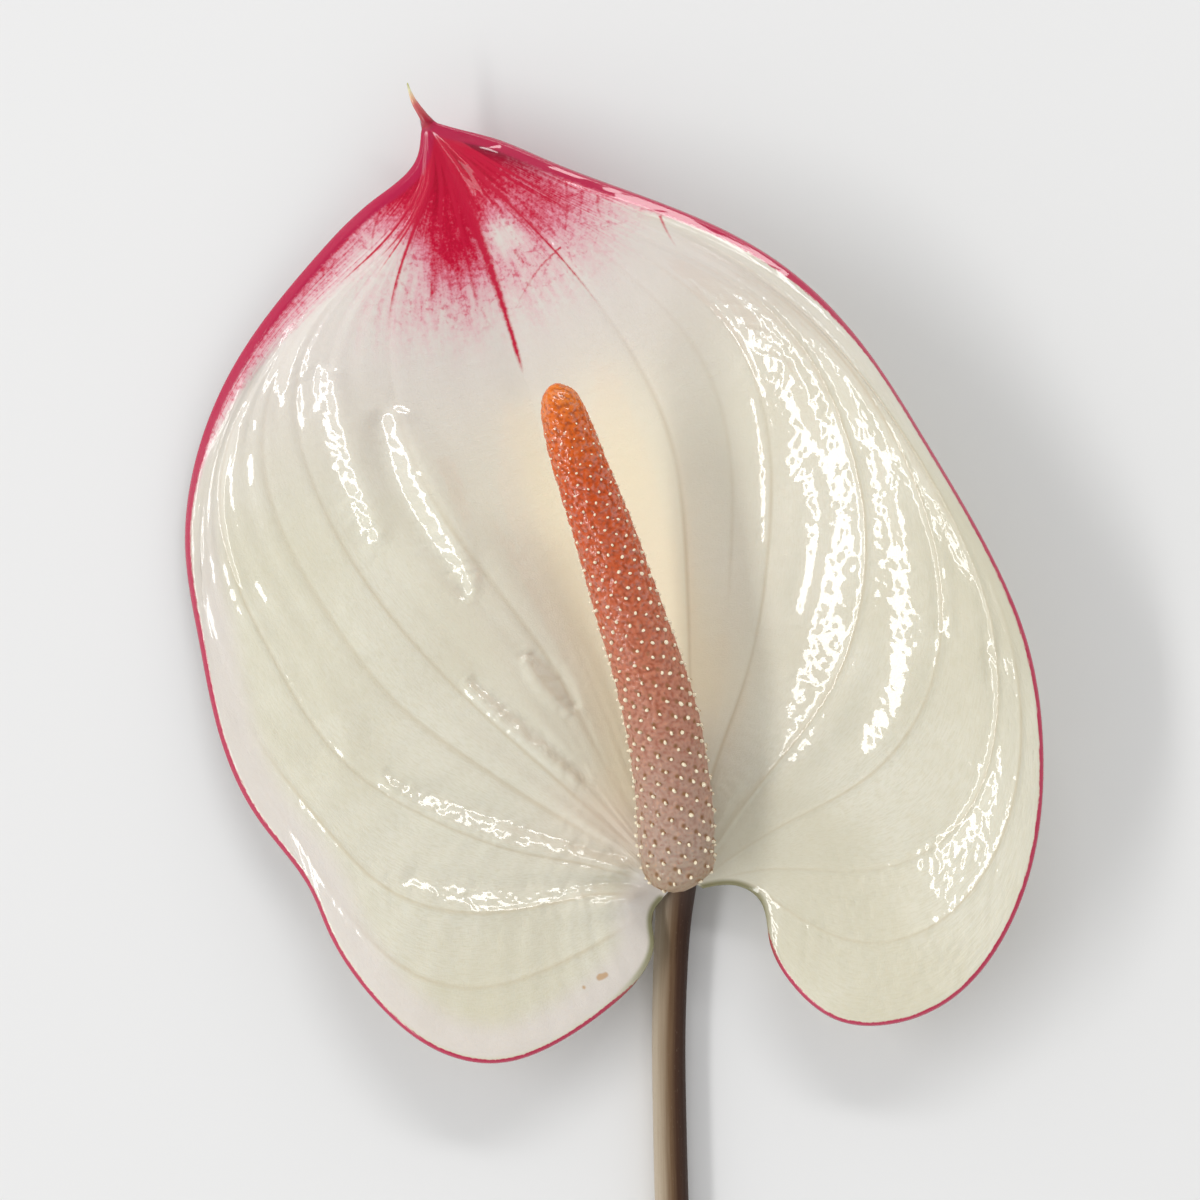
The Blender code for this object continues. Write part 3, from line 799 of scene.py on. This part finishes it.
def spathe_material():
    n = Nodes(bpy.data.materials.new("spathe_skin_look"))
    place = n.place()
    skin = n.skin()
    blush = n.attribute("blush")
    cusp = n.attribute("cusp")
    cloud = n.noise(place, 45, 4)
    streaks = n.stretched(skin, (9, 0.55), 5, 0.6, 0.3)
    fine = n.stretched(skin, (2.6, 1.1), 6, 0.7, 0.4)
    radial = n.stretched(skin, (0.9, 0.035), 4, 0.65, 0.3)
    grain = n.noise(place, 1300, 3, 0.6)
    dots = n.noise(place, 2600, 1.5, 0.5)
    colour = n.coats(
        n.mix(n.span(cloud, 0.35, 0.65), CREAM, CREAM_PALE),
        (n.span(streaks, 0.4, 0.68, 0, 0.5), CREAM_STREAK),
        # Painted fill light over the middle of the blade, where the spadix and the hollow shade it
        (n.times(n.attribute("painted_fill"), 0.8), FILL_LIGHT_PALE),
        # Painted warm bounce light from the spadix on the blade beside it
        (n.times(n.attribute("glow"), 0.75), BOUNCE_LIGHT_YELLOW),
        # Olive along the narrow veins: partly their own colour, partly painted shade in their grooves
        (n.times(n.attribute("veins"), n.span(cloud, 0.3, 0.6, 0.2, 0.5)), VEIN_OLIVE_AND_SHADE),
        (n.attribute("pale"), FLANK_GREY),
        (n.times(n.attribute("pinkish"), 0.5), LOBE_PEACH),
        (n.span(n.attribute("blemish"), 0.35, 0.75, 0, 0.7), BLEMISH_BROWN))

    soft = n.plus(n.plus(blush, n.swing(radial, 0.7)), n.swing(grain, 0.45))
    soft = n.times(soft, n.span(blush, 0, 0.2))
    mottle = n.plus(n.plus(n.swing(radial, 1.2), n.swing(grain, 0.65)), n.swing(dots, 0.4))
    level = n.plus(blush, n.times(mottle, n.span(blush, 0, 0.3)))
    twist = n.node("ShaderNodeTexNoise", {"Vector": place, "Scale": 220, "Detail": 3}).outputs["Color"]
    bent = n.math("MULTIPLY", twist, (0.003, 0.003, 0), "ShaderNodeVectorMath")
    bent = n.math("ADD", place, bent, "ShaderNodeVectorMath")
    mesh = n.node("ShaderNodeTexVoronoi", {"Vector": bent, "Scale": 260}, feature="DISTANCE_TO_EDGE")
    web = n.times(n.span(mesh.outputs["Distance"], 0, 0.09, 1, 0), n.span(blush, 0.08, 0.35))
    web = n.times(web, n.span(grain, 0.42, 0.62))
    uneven = n.plus(fine, 0.5)
    thread = n.times(n.times(n.attribute("rib"), uneven), n.plus(grain, 0.5))
    tip = n.ramp(cusp, TIP_SHADES)
    colour = n.coats(
        colour,
        (n.times(n.span(soft, -0.04, 0.7), 0.9), BLUSH_PINK),
        (n.times(web, 0.6), WEB_RED),
        (n.span(level, 0.28, 1), CRIMSON),
        (n.times(n.span(level, 0.85, 1.5), 0.6), DEEP_CRIMSON),
        (n.times(n.attribute("maroon"), 0.85), MAROON),
        (n.span(thread, 0.1, 0.85), THREAD_RED),
        (n.span(n.times(n.attribute("edge"), uneven), 0.38, 0.55), EDGE_RED),
        # Olive sinus edge: partly its own colour, partly painted shade under the base of the spadix
        (n.times(n.attribute("sinus_and_shade"), 0.85), SINUS_OLIVE_AND_SHADE),
        (n.span(cusp, 0.02, 0.2), tip))

    skin_bump = n.bump(n.stretched(skin, (5, 3.2), 4, 0.6, 0.8), 0.00025, 0.35)
    pores = n.bump(n.noise(place, 2600, 2), 0.00003, 0.5, skin_bump)
    n.set(Base_Color=colour, Normal=pores)
    n.set(Roughness=n.span(cloud, 0.3, 0.7, 0.14, 0.22))
    n.set(Coat_Weight=n.span(n.attribute("satin"), 0, 1, 1, 0.25))
    n.set(Coat_Roughness=0.03, Coat_IOR=1.55, IOR=1.45, Specular_IOR_Level=0.12)
    n.set(Subsurface_Weight=0.1, Subsurface_Scale=0.0015, Subsurface_Radius=(1, 0.8, 0.6))
    return n.owner


def thread_mask(plan):
    """How close each place is to a crimson thread."""
    mask = np.zeros(plan.shape[:2])
    for line in THREADS:
        path = drawn_path(line)
        fade = np.linspace(1, 0.25, PATH_SAMPLES)
        near = np.all((plan > path.min(axis=0) - 2) & (plan < path.max(axis=0) + 2), axis=2)
        apart = np.linalg.norm(plan[near][:, None, :] - path[None, :, :], axis=2)
        mask[near] = np.maximum(mask[near], (bell(apart / 0.2) * fade[None, :]).max(axis=1))
    return mask


def blade_masks(places, surface, spread, left_edge, right_edge):
    """Colour masks over the blade grid."""
    fractions = even(BLADE_ROWS)
    over = places[:, None]
    plan = surface[:, :, :2]
    masks = {}

    def close_to(point, reach):
        return np.exp(-((plan - point) ** 2).sum(axis=2) / reach ** 2)

    def spot_mask(x, y, reach, amount):
        return amount * close_to(flat_point(x, y), reach * GRID_STEP)

    from_apex = np.linalg.norm(plan - flat_point(430, 128), axis=2)
    blush = table_value(BLUSH_REACH, from_apex)
    for spot in BLUSH_SPOTS:
        blush = blush + spot_mask(*spot)
    line = np.zeros(spread.shape)
    for inset, table, (amount, breadth, low, high, start, full) in (
            (left_edge, LEFT_LINE, LEFT_BAND), (right_edge, RIGHT_LINE, RIGHT_BAND)):
        band = np.clip(1 - inset / (1.5 + breadth * ease_in(low, high, fractions)), 0, 1)
        blush = np.maximum(blush, amount * (band * ease_in(start, full, fractions)))
        line = np.maximum(line, 1 - inset / (2 * table_value(table, fractions)))
    masks["blush"] = blush
    masks["edge"] = np.minimum(line, 1) * ease_in(0.035, 0.09, fractions)
    masks["rib"] = 0.9 * thread_mask(plan)
    for place, narrow, broad, start, full in RED_RIBS:
        reach = narrow + (broad - narrow) * ease_in(full, 0.95, fractions)
        rib = bell((places - place)[:, None] * spread / reach) * ease_in(start, full, fractions)
        masks["rib"] = np.maximum(masks["rib"], rib)
    maroon = ease_in(0.2, 0.5, over) * ease_out(8, 23, from_apex)
    masks["maroon"] = maroon * (0.25 + 0.75 * ease_out(0.8, 3.6, right_edge))
    # Painted bounce light from the spadix, strongest along the drawn lines beside it
    glow = [close_to(point, wide) for track, wide in BOUNCE_LIGHT_LINES for point in drawn_path(track)]
    masks["glow"] = np.max(glow, axis=0)
    # Dark olive near the margins at the base: the sinus edge's own colour and painted shade under the
    # spadix base
    inner_end = ease_out(0.3, 1.1, np.minimum(left_edge, right_edge))
    masks["sinus_and_shade"] = inner_end * ease_out(0.03, 0.1, fractions)
    pale = ease_in(0.5, 0.75, fractions) * (1 - 0.5 * ease_in(0.5, 1, over)) * 0.8
    band = ease_in(0.3, 1, left_edge) * ease_out(3, 7, left_edge)
    masks["pale"] = np.maximum(pale, 0.75 * band * ease_out(0.5, 0.8, fractions))
    pinkish = ease_in(0.02, 0.05, fractions) * ease_out(0.08, 0.2, fractions)
    masks["pinkish"] = bell((over + 0.3) / 0.22) * pinkish
    masks["blemish"] = np.max([spot_mask(*spot) for spot in BLEMISH_SPOTS], axis=0)
    # Olive vein lines, partly the veins' own colour and partly painted shade in their grooves
    masks["veins"] = np.zeros(spread.shape)
    for place, wide, _, start, end in RELIEF:
        if wide <= VEIN_TINT_WIDTH:
            vein = bell((places - place)[:, None] * spread / (0.6 * wide))
            masks["veins"] = np.maximum(masks["veins"], vein * vein_fade(start, end, fractions))
    # Painted fill light: the middle of the blade near the midrib is made paler where the spadix and the
    # hollow shade it
    painted_fill = bell((over - 0.08) / 0.36) * ease_in(0.08, 0.2, fractions)
    masks["painted_fill"] = painted_fill * ease_out(0.55, 0.75, fractions)
    masks["satin"] = ease_in(0.3, 0.9, blush) * ease_in(1.4, 2.6, right_edge)
    return masks


def build_spathe():
    """The blade: a closed sheet with veins, folds, wrinkles, rolled rims and a drawn-out tip."""
    turn = math.pi / 2 * PLACE_BEND
    places = np.sin(np.linspace(-1, 1, BLADE_COLUMNS) * math.pi / 2 * PLACE_BEND) / math.sin(turn)
    fractions = even(BLADE_ROWS)
    surface = blade_middle(places)
    height = surface[:, :, 2]
    left_edge = margin_distance(surface, surface[0])
    right_edge = margin_distance(surface, surface[-1])
    edge = np.minimum(left_edge, right_edge)
    spread = vein_spread(surface, places)
    along = along_veins(surface)
    ends = ease_in(0, 0.05, fractions) * ease_out(0.93, 0.985, fractions)
    calm = ease_in(0.3, 2.6, edge) * ends
    shrink = np.clip(spread / FULL_SPREAD, 0, 1)
    height += (blade_relief(places, spread) + blade_ribs(places, along, surface) * shrink) * calm
    for sweep in range(FOLD_SWEEPS):
        if sweep < FOLD_SWEEPS - 1:
            height += fold_relief(surface, DULL_FOLDS, 0, 1, DULL_SLOPE) * calm
        height += fold_relief(surface, TOP_FOLDS, 1, -1, TOP_SLOPE) * calm
        height += fold_relief(surface, LEFT_FOLDS, 0, 1, LEFT_SLOPE) * calm
    under = surface.copy()
    nearness = fold_nearness(surface, LEFT_FOLDS + TOP_FOLDS)
    calm_apex = 1 - 0.85 * ease_in(0.74, 0.86, fractions)
    near_rim = ease_in(0.15, 1.3, edge) * ends
    height += blade_wrinkles(places, along, surface, nearness) * near_rim * shrink * calm_apex
    for sheet in (surface, under):
        shine_rim(sheet, right_edge)
        turn_rims(sheet, left_edge, right_edge)
    masks = blade_masks(places, surface, spread, left_edge, right_edge)
    surface, cusp_half = add_cusp(surface)
    under = add_cusp(under)[0]

    def with_cusp(values, beyond):
        beyond = np.broadcast_to(beyond, (BLADE_COLUMNS, CUSP_ROWS))
        return np.concatenate((values, beyond), axis=1)

    rim_share = with_cusp(ease_in(0, 2, edge), 1)
    half = RIM_THICKNESS / 2 + (BLADE_THICKNESS / 2 - RIM_THICKNESS / 2) * rim_share
    across = np.sin(np.linspace(-1, 1, BLADE_COLUMNS) * math.pi / 2)
    half[:, BLADE_ROWS:] = np.sqrt(np.maximum(1 - across ** 2, 0.01))[:, None] * cusp_half
    rounding = with_cusp(ease_out(0.5, 2.4, edge), 1)[:, :, None]
    upright = UPRIGHT * (1 - rounding)
    top = surface + (grid_normals(surface) * rounding + upright) * half[:, :, None]
    bottom = under - (grid_normals(under) * rounding + upright) * half[:, :, None]
    grids = {label: with_cusp(values, BEYOND_APEX.get(label, 0)) for label, values in masks.items()}
    grids["cusp"] = with_cusp(np.zeros(edge.shape), np.linspace(0.05, 1, CUSP_ROWS))
    full = with_cusp(along, along[:, -1:] + np.linspace(0.5, 6, CUSP_ROWS))
    plan = np.stack((np.broadcast_to(places[:, None] * ALONG_SCALE, full.shape), full), axis=-1)
    material = spathe_material()
    centre = BLADE_COLUMNS // 2
    for name, part, open_side in (("spathe_left", slice(0, centre + 1), "right"),
                                  ("spathe_right", slice(centre, BLADE_COLUMNS), "left")):

        def both_sides(values):
            return np.concatenate([sheet.reshape(-1, *values.shape[2:])
                                   for sheet in (values[part], values[part][::UNDER_STEP, ::UNDER_STEP])])

        points, faces = sheet_mesh(top[part], bottom[part][::UNDER_STEP, ::UNDER_STEP], open_side)
        attributes = {label: both_sides(values) for label, values in grids.items()}
        make_piece(name, points, faces, "spathe", material, attributes, both_sides(plan))


def tube_frames(centres, sides):
    """Run, angles, outward vectors and three directions for rings along a line of centres."""
    forward = np.gradient(centres, axis=0)
    forward /= np.linalg.norm(forward, axis=1)[:, None]
    side = np.cross(forward, UPRIGHT)
    side /= np.linalg.norm(side, axis=1)[:, None]
    up = np.cross(side, forward)
    angles = np.linspace(0, 2 * math.pi, sides, endpoint=False)
    turns = angles[None, :, None]
    outward = np.cos(turns) * side[:, None, :] + np.sin(turns) * up[:, None, :]
    return run_along(centres), angles, outward, forward, side, up


def tube_faces(rings, sides):
    ring = np.arange(rings * sides).reshape(rings, sides)
    after = np.roll(ring, -1, axis=1)
    return np.stack((ring[:-1], after[:-1], after[1:], ring[1:]), axis=-1).reshape(-1, 4).tolist()


def spadix_florets(line, run):
    """Places of the florets: distance along, angle around and the space each one has."""
    places = []
    length = run[-1]
    here = FLORET_START * length
    angle = 0
    while here < FLORET_END * length:
        share = here / length
        radius = np.interp(share, run / length, line[:, 3])
        area = float(table_value(FLORET_AREA, share))
        places.append((here, angle % (2 * math.pi), math.sqrt(area)))
        here += area / (2 * math.pi * max(radius, 1.5))
        angle += GOLDEN_TURN
    return np.array(places)


def spadix_material():
    n = Nodes(bpy.data.materials.new("spadix_skin_look"))
    place = n.place()
    share = n.attribute("share")
    grain = n.attribute("grain")
    specks = n.noise(place, 1700, 3)
    wander = n.plus(share, n.swing(n.noise(place, 260, 4), 0.14))
    colour = n.coats(
        n.ramp(wander, SPADIX_SHADES),
        # Painted shade where the granules sink, and a painted highlight where they rise
        (n.times(n.span(grain, 0.1, 0.6, 0.6, 0), n.span(share, 0.1, 0.5, 0.35, 1)), CREVICE_SHADE_BROWN),
        (n.span(grain, 0.6, 1, 0, 0.2), GRAIN_TOP_HIGHLIGHT),
        (n.span(specks, 0.56, 0.72, 0, 0.4), SPECK_BROWN),
        (n.attribute("pit"), PIT_BROWN))
    drops = n.noise(place, 1500, 2)
    wet = n.bump(drops, 0.00022, n.span(share, 0.45, 0.8, 0.15, 0.8))
    bump = n.bump(n.noise(place, 2600, 2), 0.00004, 0.6, wet)
    n.set(Base_Color=colour, Normal=bump, Roughness=n.span(share, 0.3, 0.7, 0.42, 0.28))
    shiny = n.times(n.span(drops, 0.46, 0.58), n.span(share, 0.3, 0.65, 0.15, 1))
    n.set(Coat_Weight=shiny, Coat_Roughness=0.06, Coat_IOR=1.85, IOR=1.4, Specular_IOR_Level=0.2)
    n.set(Subsurface_Weight=0.15, Subsurface_Scale=0.001, Subsurface_Radius=(1, 0.4, 0.25))
    return n.owner


def stigma_material():
    n = Nodes(bpy.data.materials.new("stigma_look"))
    place = n.place()
    cloud = n.noise(place, 1400, 3)
    # Painted highlight: cream where a stigma faces the lights, and more cream towards the tip
    level = n.plus(n.attribute("stigma_lit_share"), n.swing(cloud, 0.5))
    colour = n.mix(n.span(level, 0.3, 0.6), STIGMA_BROWN, STIGMA_LIT_CREAM)
    bump = n.bump(n.noise(place, 3000, 2), 0.00004, 0.4)
    n.set(Base_Color=colour, Normal=bump, Roughness=n.span(cloud, 0.3, 0.7, 0.1, 0.22))
    n.set(Coat_Weight=0.8, Coat_Roughness=0.04, Coat_IOR=1.6, IOR=1.4)
    return n.owner


def build_spadix():
    """The spike: a fleshy core with a floret dome in every cell and a wet stigma on each."""
    drawn = [plan_point(x, y, height) + (radius,) for x, y, height, radius in SPADIX_LINE]
    line = natural_spline(drawn, even(SPADIX_RINGS))
    centres = line[:, :3]
    run, angles, outward, forward, side, up = tube_frames(centres, SPADIX_SIDES)
    florets = spadix_florets(line, run)
    nearest, second, shaded = np.full((3, SPADIX_RINGS, SPADIX_SIDES), 1e9)
    for here, angle, size in florets:
        radius = np.interp(here, run, line[:, 3])
        rows = np.nonzero(np.abs(run - here) < 2.2 * size)[0]
        turn = (angles - angle + math.pi) % (2 * math.pi) - math.pi
        apart = np.hypot((run[rows] - here)[:, None], (turn * radius)[None, :]) / size
        old = nearest[rows]
        nearest[rows] = np.minimum(old, apart)
        second[rows] = np.minimum(second[rows], np.maximum(old, apart))
        away = np.hypot((run[rows] - here - 0.36)[:, None], (turn * radius - 0.3)[None, :]) / size
        shaded[rows] = np.minimum(shaded[rows], away)
    nearest = np.minimum(nearest, 1)
    groove = ease_in(0, 0.5, np.minimum(second, 1.6) - nearest)
    share = (run / run[-1])[:, None]
    girth = line[:, 3][:, None]
    around = angles[None, :] * girth
    down = run[:, None]
    grains = soft_noise(around / 0.66, down / 0.66, 21)
    grains += 0.5 * soft_noise(around / 0.42 + 9, down / 0.42, 22)
    close = 0.5 + 0.5 * np.clip(grains, -1, 1)
    wide = soft_noise(around / 2.1, down / 2.1, 23)
    domes = ease_out(0.84, 0.97, share) * (0.1 * groove - 0.05 * bell((nearest - 0.27) / 0.1))
    radius = girth - 0.1 + domes + 0.24 * (close - 0.5) + 0.06 * wide
    skin = centres[:, None, :] + outward * radius[:, :, None]
    points = list(skin.reshape(-1, 3))
    faces = tube_faces(SPADIX_RINGS, SPADIX_SIDES)
    first = len(points)
    points.append(centres[0] - forward[0] * 1.1)
    points.append(centres[-1] + forward[-1] * 0.22)
    last_ring = (SPADIX_RINGS - 1) * SPADIX_SIDES
    for index in range(SPADIX_SIDES):
        after = (index + 1) % SPADIX_SIDES
        faces.append((first, after, index))
        faces.append((first + 1, last_ring + index, last_ring + after))
    brown = np.exp(-(shaded / 0.17) ** 4) * ease_out(0.3, 0.7, share)
    attributes = {
        "share": np.append(np.broadcast_to(share, nearest.shape), (0, 1)),
        "pit": np.append(brown * 0.85, (0, 0)),
        "grain": np.append(close, (0.6, 0.6)),
    }
    make_piece("spadix_core", points, faces, "spadix", spadix_material(), attributes)

    points = []
    faces = []
    stigma_lit_share = []
    for index, (here, angle, size) in enumerate(florets):
        share = here / run[-1]
        if share > STIGMA_END:
            continue
        wander = soft_noise(np.array([index * 0.77, index * 0.61, index * 0.93]),
                            np.array([index * 1.31, 7.7, 3.3]), 31)
        here = here + 0.22 * size * wander[1]
        angle = angle + 0.22 * size * wander[2] / 4.5
        axis_place = np.interp(here, run, np.arange(SPADIX_RINGS))
        low = min(int(axis_place), SPADIX_RINGS - 2)
        part = axis_place - low
        centre = centres[low] * (1 - part) + centres[low + 1] * part
        out = math.cos(angle) * side[low] + math.sin(angle) * up[low]
        round_way = np.cross(forward[low], out)
        radius = np.interp(here, run, line[:, 3]) - 0.02
        bead = float(table_value(STIGMA_RADIUS, share)) * (1 + 0.3 * wander[0])
        start = len(points)
        for ring in range(BEAD_RINGS + 1):
            tilt = math.pi * 0.6 * ring / BEAD_RINGS
            for step in range(BEAD_SIDES):
                turn = 2 * math.pi * step / BEAD_SIDES
                flat = bead * math.sin(tilt) * (1 + 0.16 * math.cos(2 * turn + index))
                lift = bead * (1.25 * math.cos(tilt) + 0.2)
                way = forward[low] * math.cos(turn) + round_way * math.sin(turn)
                points.append(centre + out * (radius + lift) + way * flat)
                # Painted light: how far this point of the bead faces the lit side
                facing = float((out * math.cos(tilt) * 0.5 + way * math.sin(tilt)) @ STIGMA_LIT_SIDE)
                stigma_lit_share.append(0.5 + 0.5 * facing + 0.25 * ease_in(0.25, 0.7, share))
        for ring in range(BEAD_RINGS):
            for step in range(BEAD_SIDES):
                a = start + ring * BEAD_SIDES + step
                b = start + ring * BEAD_SIDES + (step + 1) % BEAD_SIDES
                faces.append((a, a + BEAD_SIDES, b + BEAD_SIDES, b))
        faces.append([start + BEAD_RINGS * BEAD_SIDES + step for step in range(BEAD_SIDES)])
    attributes = {"stigma_lit_share": stigma_lit_share}
    make_piece("spadix_stigmas", points, faces, "spadix", stigma_material(), attributes)


def stem_material():
    n = Nodes(bpy.data.materials.new("stem_skin_look"))
    skin = n.skin()
    streaks = n.stretched(skin, (2.2, 0.05), 5, 0.65, 0.2)
    specks = n.stretched(skin, (3, 1.2), 3, 0.6)
    pith = n.mix(n.span(n.noise(n.place(), 1300, 3), 0.4, 0.65), PITH_GREEN, PITH_PALE)
    colour = n.coats(
        # Painted shade: the ramp turns the stalk from light on its lit left side to dark on its shaded
        # right side
        n.ramp(n.plus(n.attribute("turn"), n.swing(streaks, 0.3)), STEM_LIT_TO_SHADED),
        (n.span(specks, 0.6, 0.75, 0, 0.3), STEM_SPECK),
        (n.times(n.attribute("top"), 0.6), STEM_TOP),
        (n.attribute("cut"), pith))
    bump = n.bump(n.stretched(skin, (6, 0.2), 4), 0.00012, 0.5)
    n.set(Base_Color=colour, Normal=bump, Roughness=n.span(specks, 0.3, 0.7, 0.38, 0.55), IOR=1.35)
    n.set(Coat_Weight=0.05, Coat_Roughness=0.2, Specular_IOR_Level=0.3)
    return n.owner


def build_stem():
    """The stalk: a long round tube, flared where it meets the blade and cut at the far end."""
    line = natural_spline(STEM_LINE, even(STEM_RINGS) ** 0.9)
    line[:, 2] = np.maximum(line[:, 2], line[:, 3])
    centres = line[:, :3]
    run, angles, outward, forward = tube_frames(centres, STEM_SIDES)[:4]
    down = run[:, None]
    ridges = soft_noise(angles[None, :] * 20 / (2 * math.pi), down / 60, 41)
    lumps = soft_noise(angles[None, :] * 4 / (2 * math.pi), down / 14, 42)
    radius = line[:, 3][:, None] - 0.05 + 0.03 * ridges + 0.03 * lumps
    skin = centres[:, None, :] + outward * radius[:, :, None]
    skin[0] -= forward[0][None, :] * (CUT_SLANT * np.cos(angles))[:, None]
    points = list(skin.reshape(-1, 3))
    faces = tube_faces(STEM_RINGS, STEM_SIDES)
    previous = list(range(STEM_SIDES))
    cut_mask = [0] * len(points)
    for share, mask in CUT_RINGS:
        ring = []
        for index in range(STEM_SIDES):
            ring.append(len(points))
            spot = centres[0] + (skin[0, index] - centres[0]) * share
            points.append(spot - forward[0] * 0.06 * (1 - share))
            cut_mask.append(mask)
        for index in range(STEM_SIDES):
            after = (index + 1) % STEM_SIDES
            faces.append((previous[after], previous[index], ring[index], ring[after]))
        previous = ring
    faces.append(previous[::-1])
    faces.append(list(range((STEM_RINGS - 1) * STEM_SIDES, STEM_RINGS * STEM_SIDES)))
    extra = len(points) - STEM_RINGS * STEM_SIDES

    def with_cut(values, beyond):
        return np.append(np.broadcast_to(values, (STEM_RINGS, STEM_SIDES)), np.full(extra, beyond))

    attributes = {
        # Painted shade share: nought on the lit left side of the stalk, one on its shaded right side
        "turn": with_cut(0.5 + 0.5 * np.cos(angles), 0.4),
        "top": with_cut(ease_in(run[-1] - 12, run[-1] - 2, down), 0),
        "cut": cut_mask,
    }
    plan = np.stack((with_cut(np.abs(angles - math.pi) * 2.5, 0), with_cut(down, 0)), axis=-1)
    make_piece("stem_stalk", points, faces, "stem", stem_material(), attributes, plan)


def build_floor():
    n = Nodes(bpy.data.materials.new("floor_look"))
    n.set(Base_Color=n.mix(n.noise(n.place(), 3, 3), FLOOR_DARK, FLOOR_PALE), Roughness=0.75)
    n.set(Specular_IOR_Level=0.2)
    mesh = bpy.data.meshes.new("floor")
    corners = [(x * FLOOR_REACH, y * FLOOR_REACH, 0) for x, y in ((-1, -1), (1, -1), (1, 1), (-1, 1))]
    mesh.from_pydata(corners, [], [(0, 1, 2, 3)])
    floor = bpy.data.objects.new("floor", mesh)
    bpy.context.scene.collection.objects.link(floor)
    mesh.materials.append(n.owner)


def add_light(name, direction, size):
    """A soft rectangular light aimed at the middle of the blade, with the same glow at any size."""
    light = bpy.data.lights.new(name, "AREA")
    light.shape = "RECTANGLE"
    light.size, light.size_y = size
    light.energy = LIGHT_GLOW * math.pi * size[0] * size[1]
    lamp = bpy.data.objects.new(name, light)
    bpy.context.scene.collection.objects.link(lamp)
    way = Vector(direction).normalized()
    lamp.location = Vector(LIGHT_TARGET) + way * LIGHT_DISTANCE
    lamp.rotation_euler = way.to_track_quat("Z", "Y").to_euler()


def light_scene():
    """Two long lights, and a white room that is darker overhead and a little brighter on the left."""
    add_light("left_strip", (-0.72, -0.08, 0.69), (3, 0.38))
    add_light("top_softbox", (0.1, 0.7, 0.71), (2.2, 0.38))
    scene = bpy.context.scene
    scene.world = bpy.data.worlds.new("studio")
    n = Nodes(scene.world, "Background")
    split = n.node("ShaderNodeSeparateXYZ", {"Vector": n.place("Generated")}).outputs
    level = n.span(split["Z"], 0.6, 0.86, 0.95, 0.3)
    side = n.span(split["X"], -1, 1, 1.15, 0.85, "LINEAR")
    n.set(Strength=n.times(level, side), Color=(1, 1, 1))
    scene.view_settings.view_transform = "Standard"


def place_camera():
    camera = bpy.data.cameras.new("camera")
    camera.sensor_width = SENSOR_WIDTH
    camera.lens = SENSOR_WIDTH * (VIEW_HEIGHT - VIEW_PLANE) / VIEW_WIDTH
    camera.clip_start = 0.05
    camera.clip_end = 60
    holder = bpy.data.objects.new("camera", camera)
    bpy.context.scene.collection.objects.link(holder)
    centre = (np.array(plan_point(*VIEW_CENTRE)) + CENTRE_SHIFT) * MM
    holder.location = (centre[0], centre[1], VIEW_HEIGHT)
    bpy.context.scene.camera = holder


build_stem()
build_spathe()
build_spadix()
build_floor()
light_scene()
place_camera()
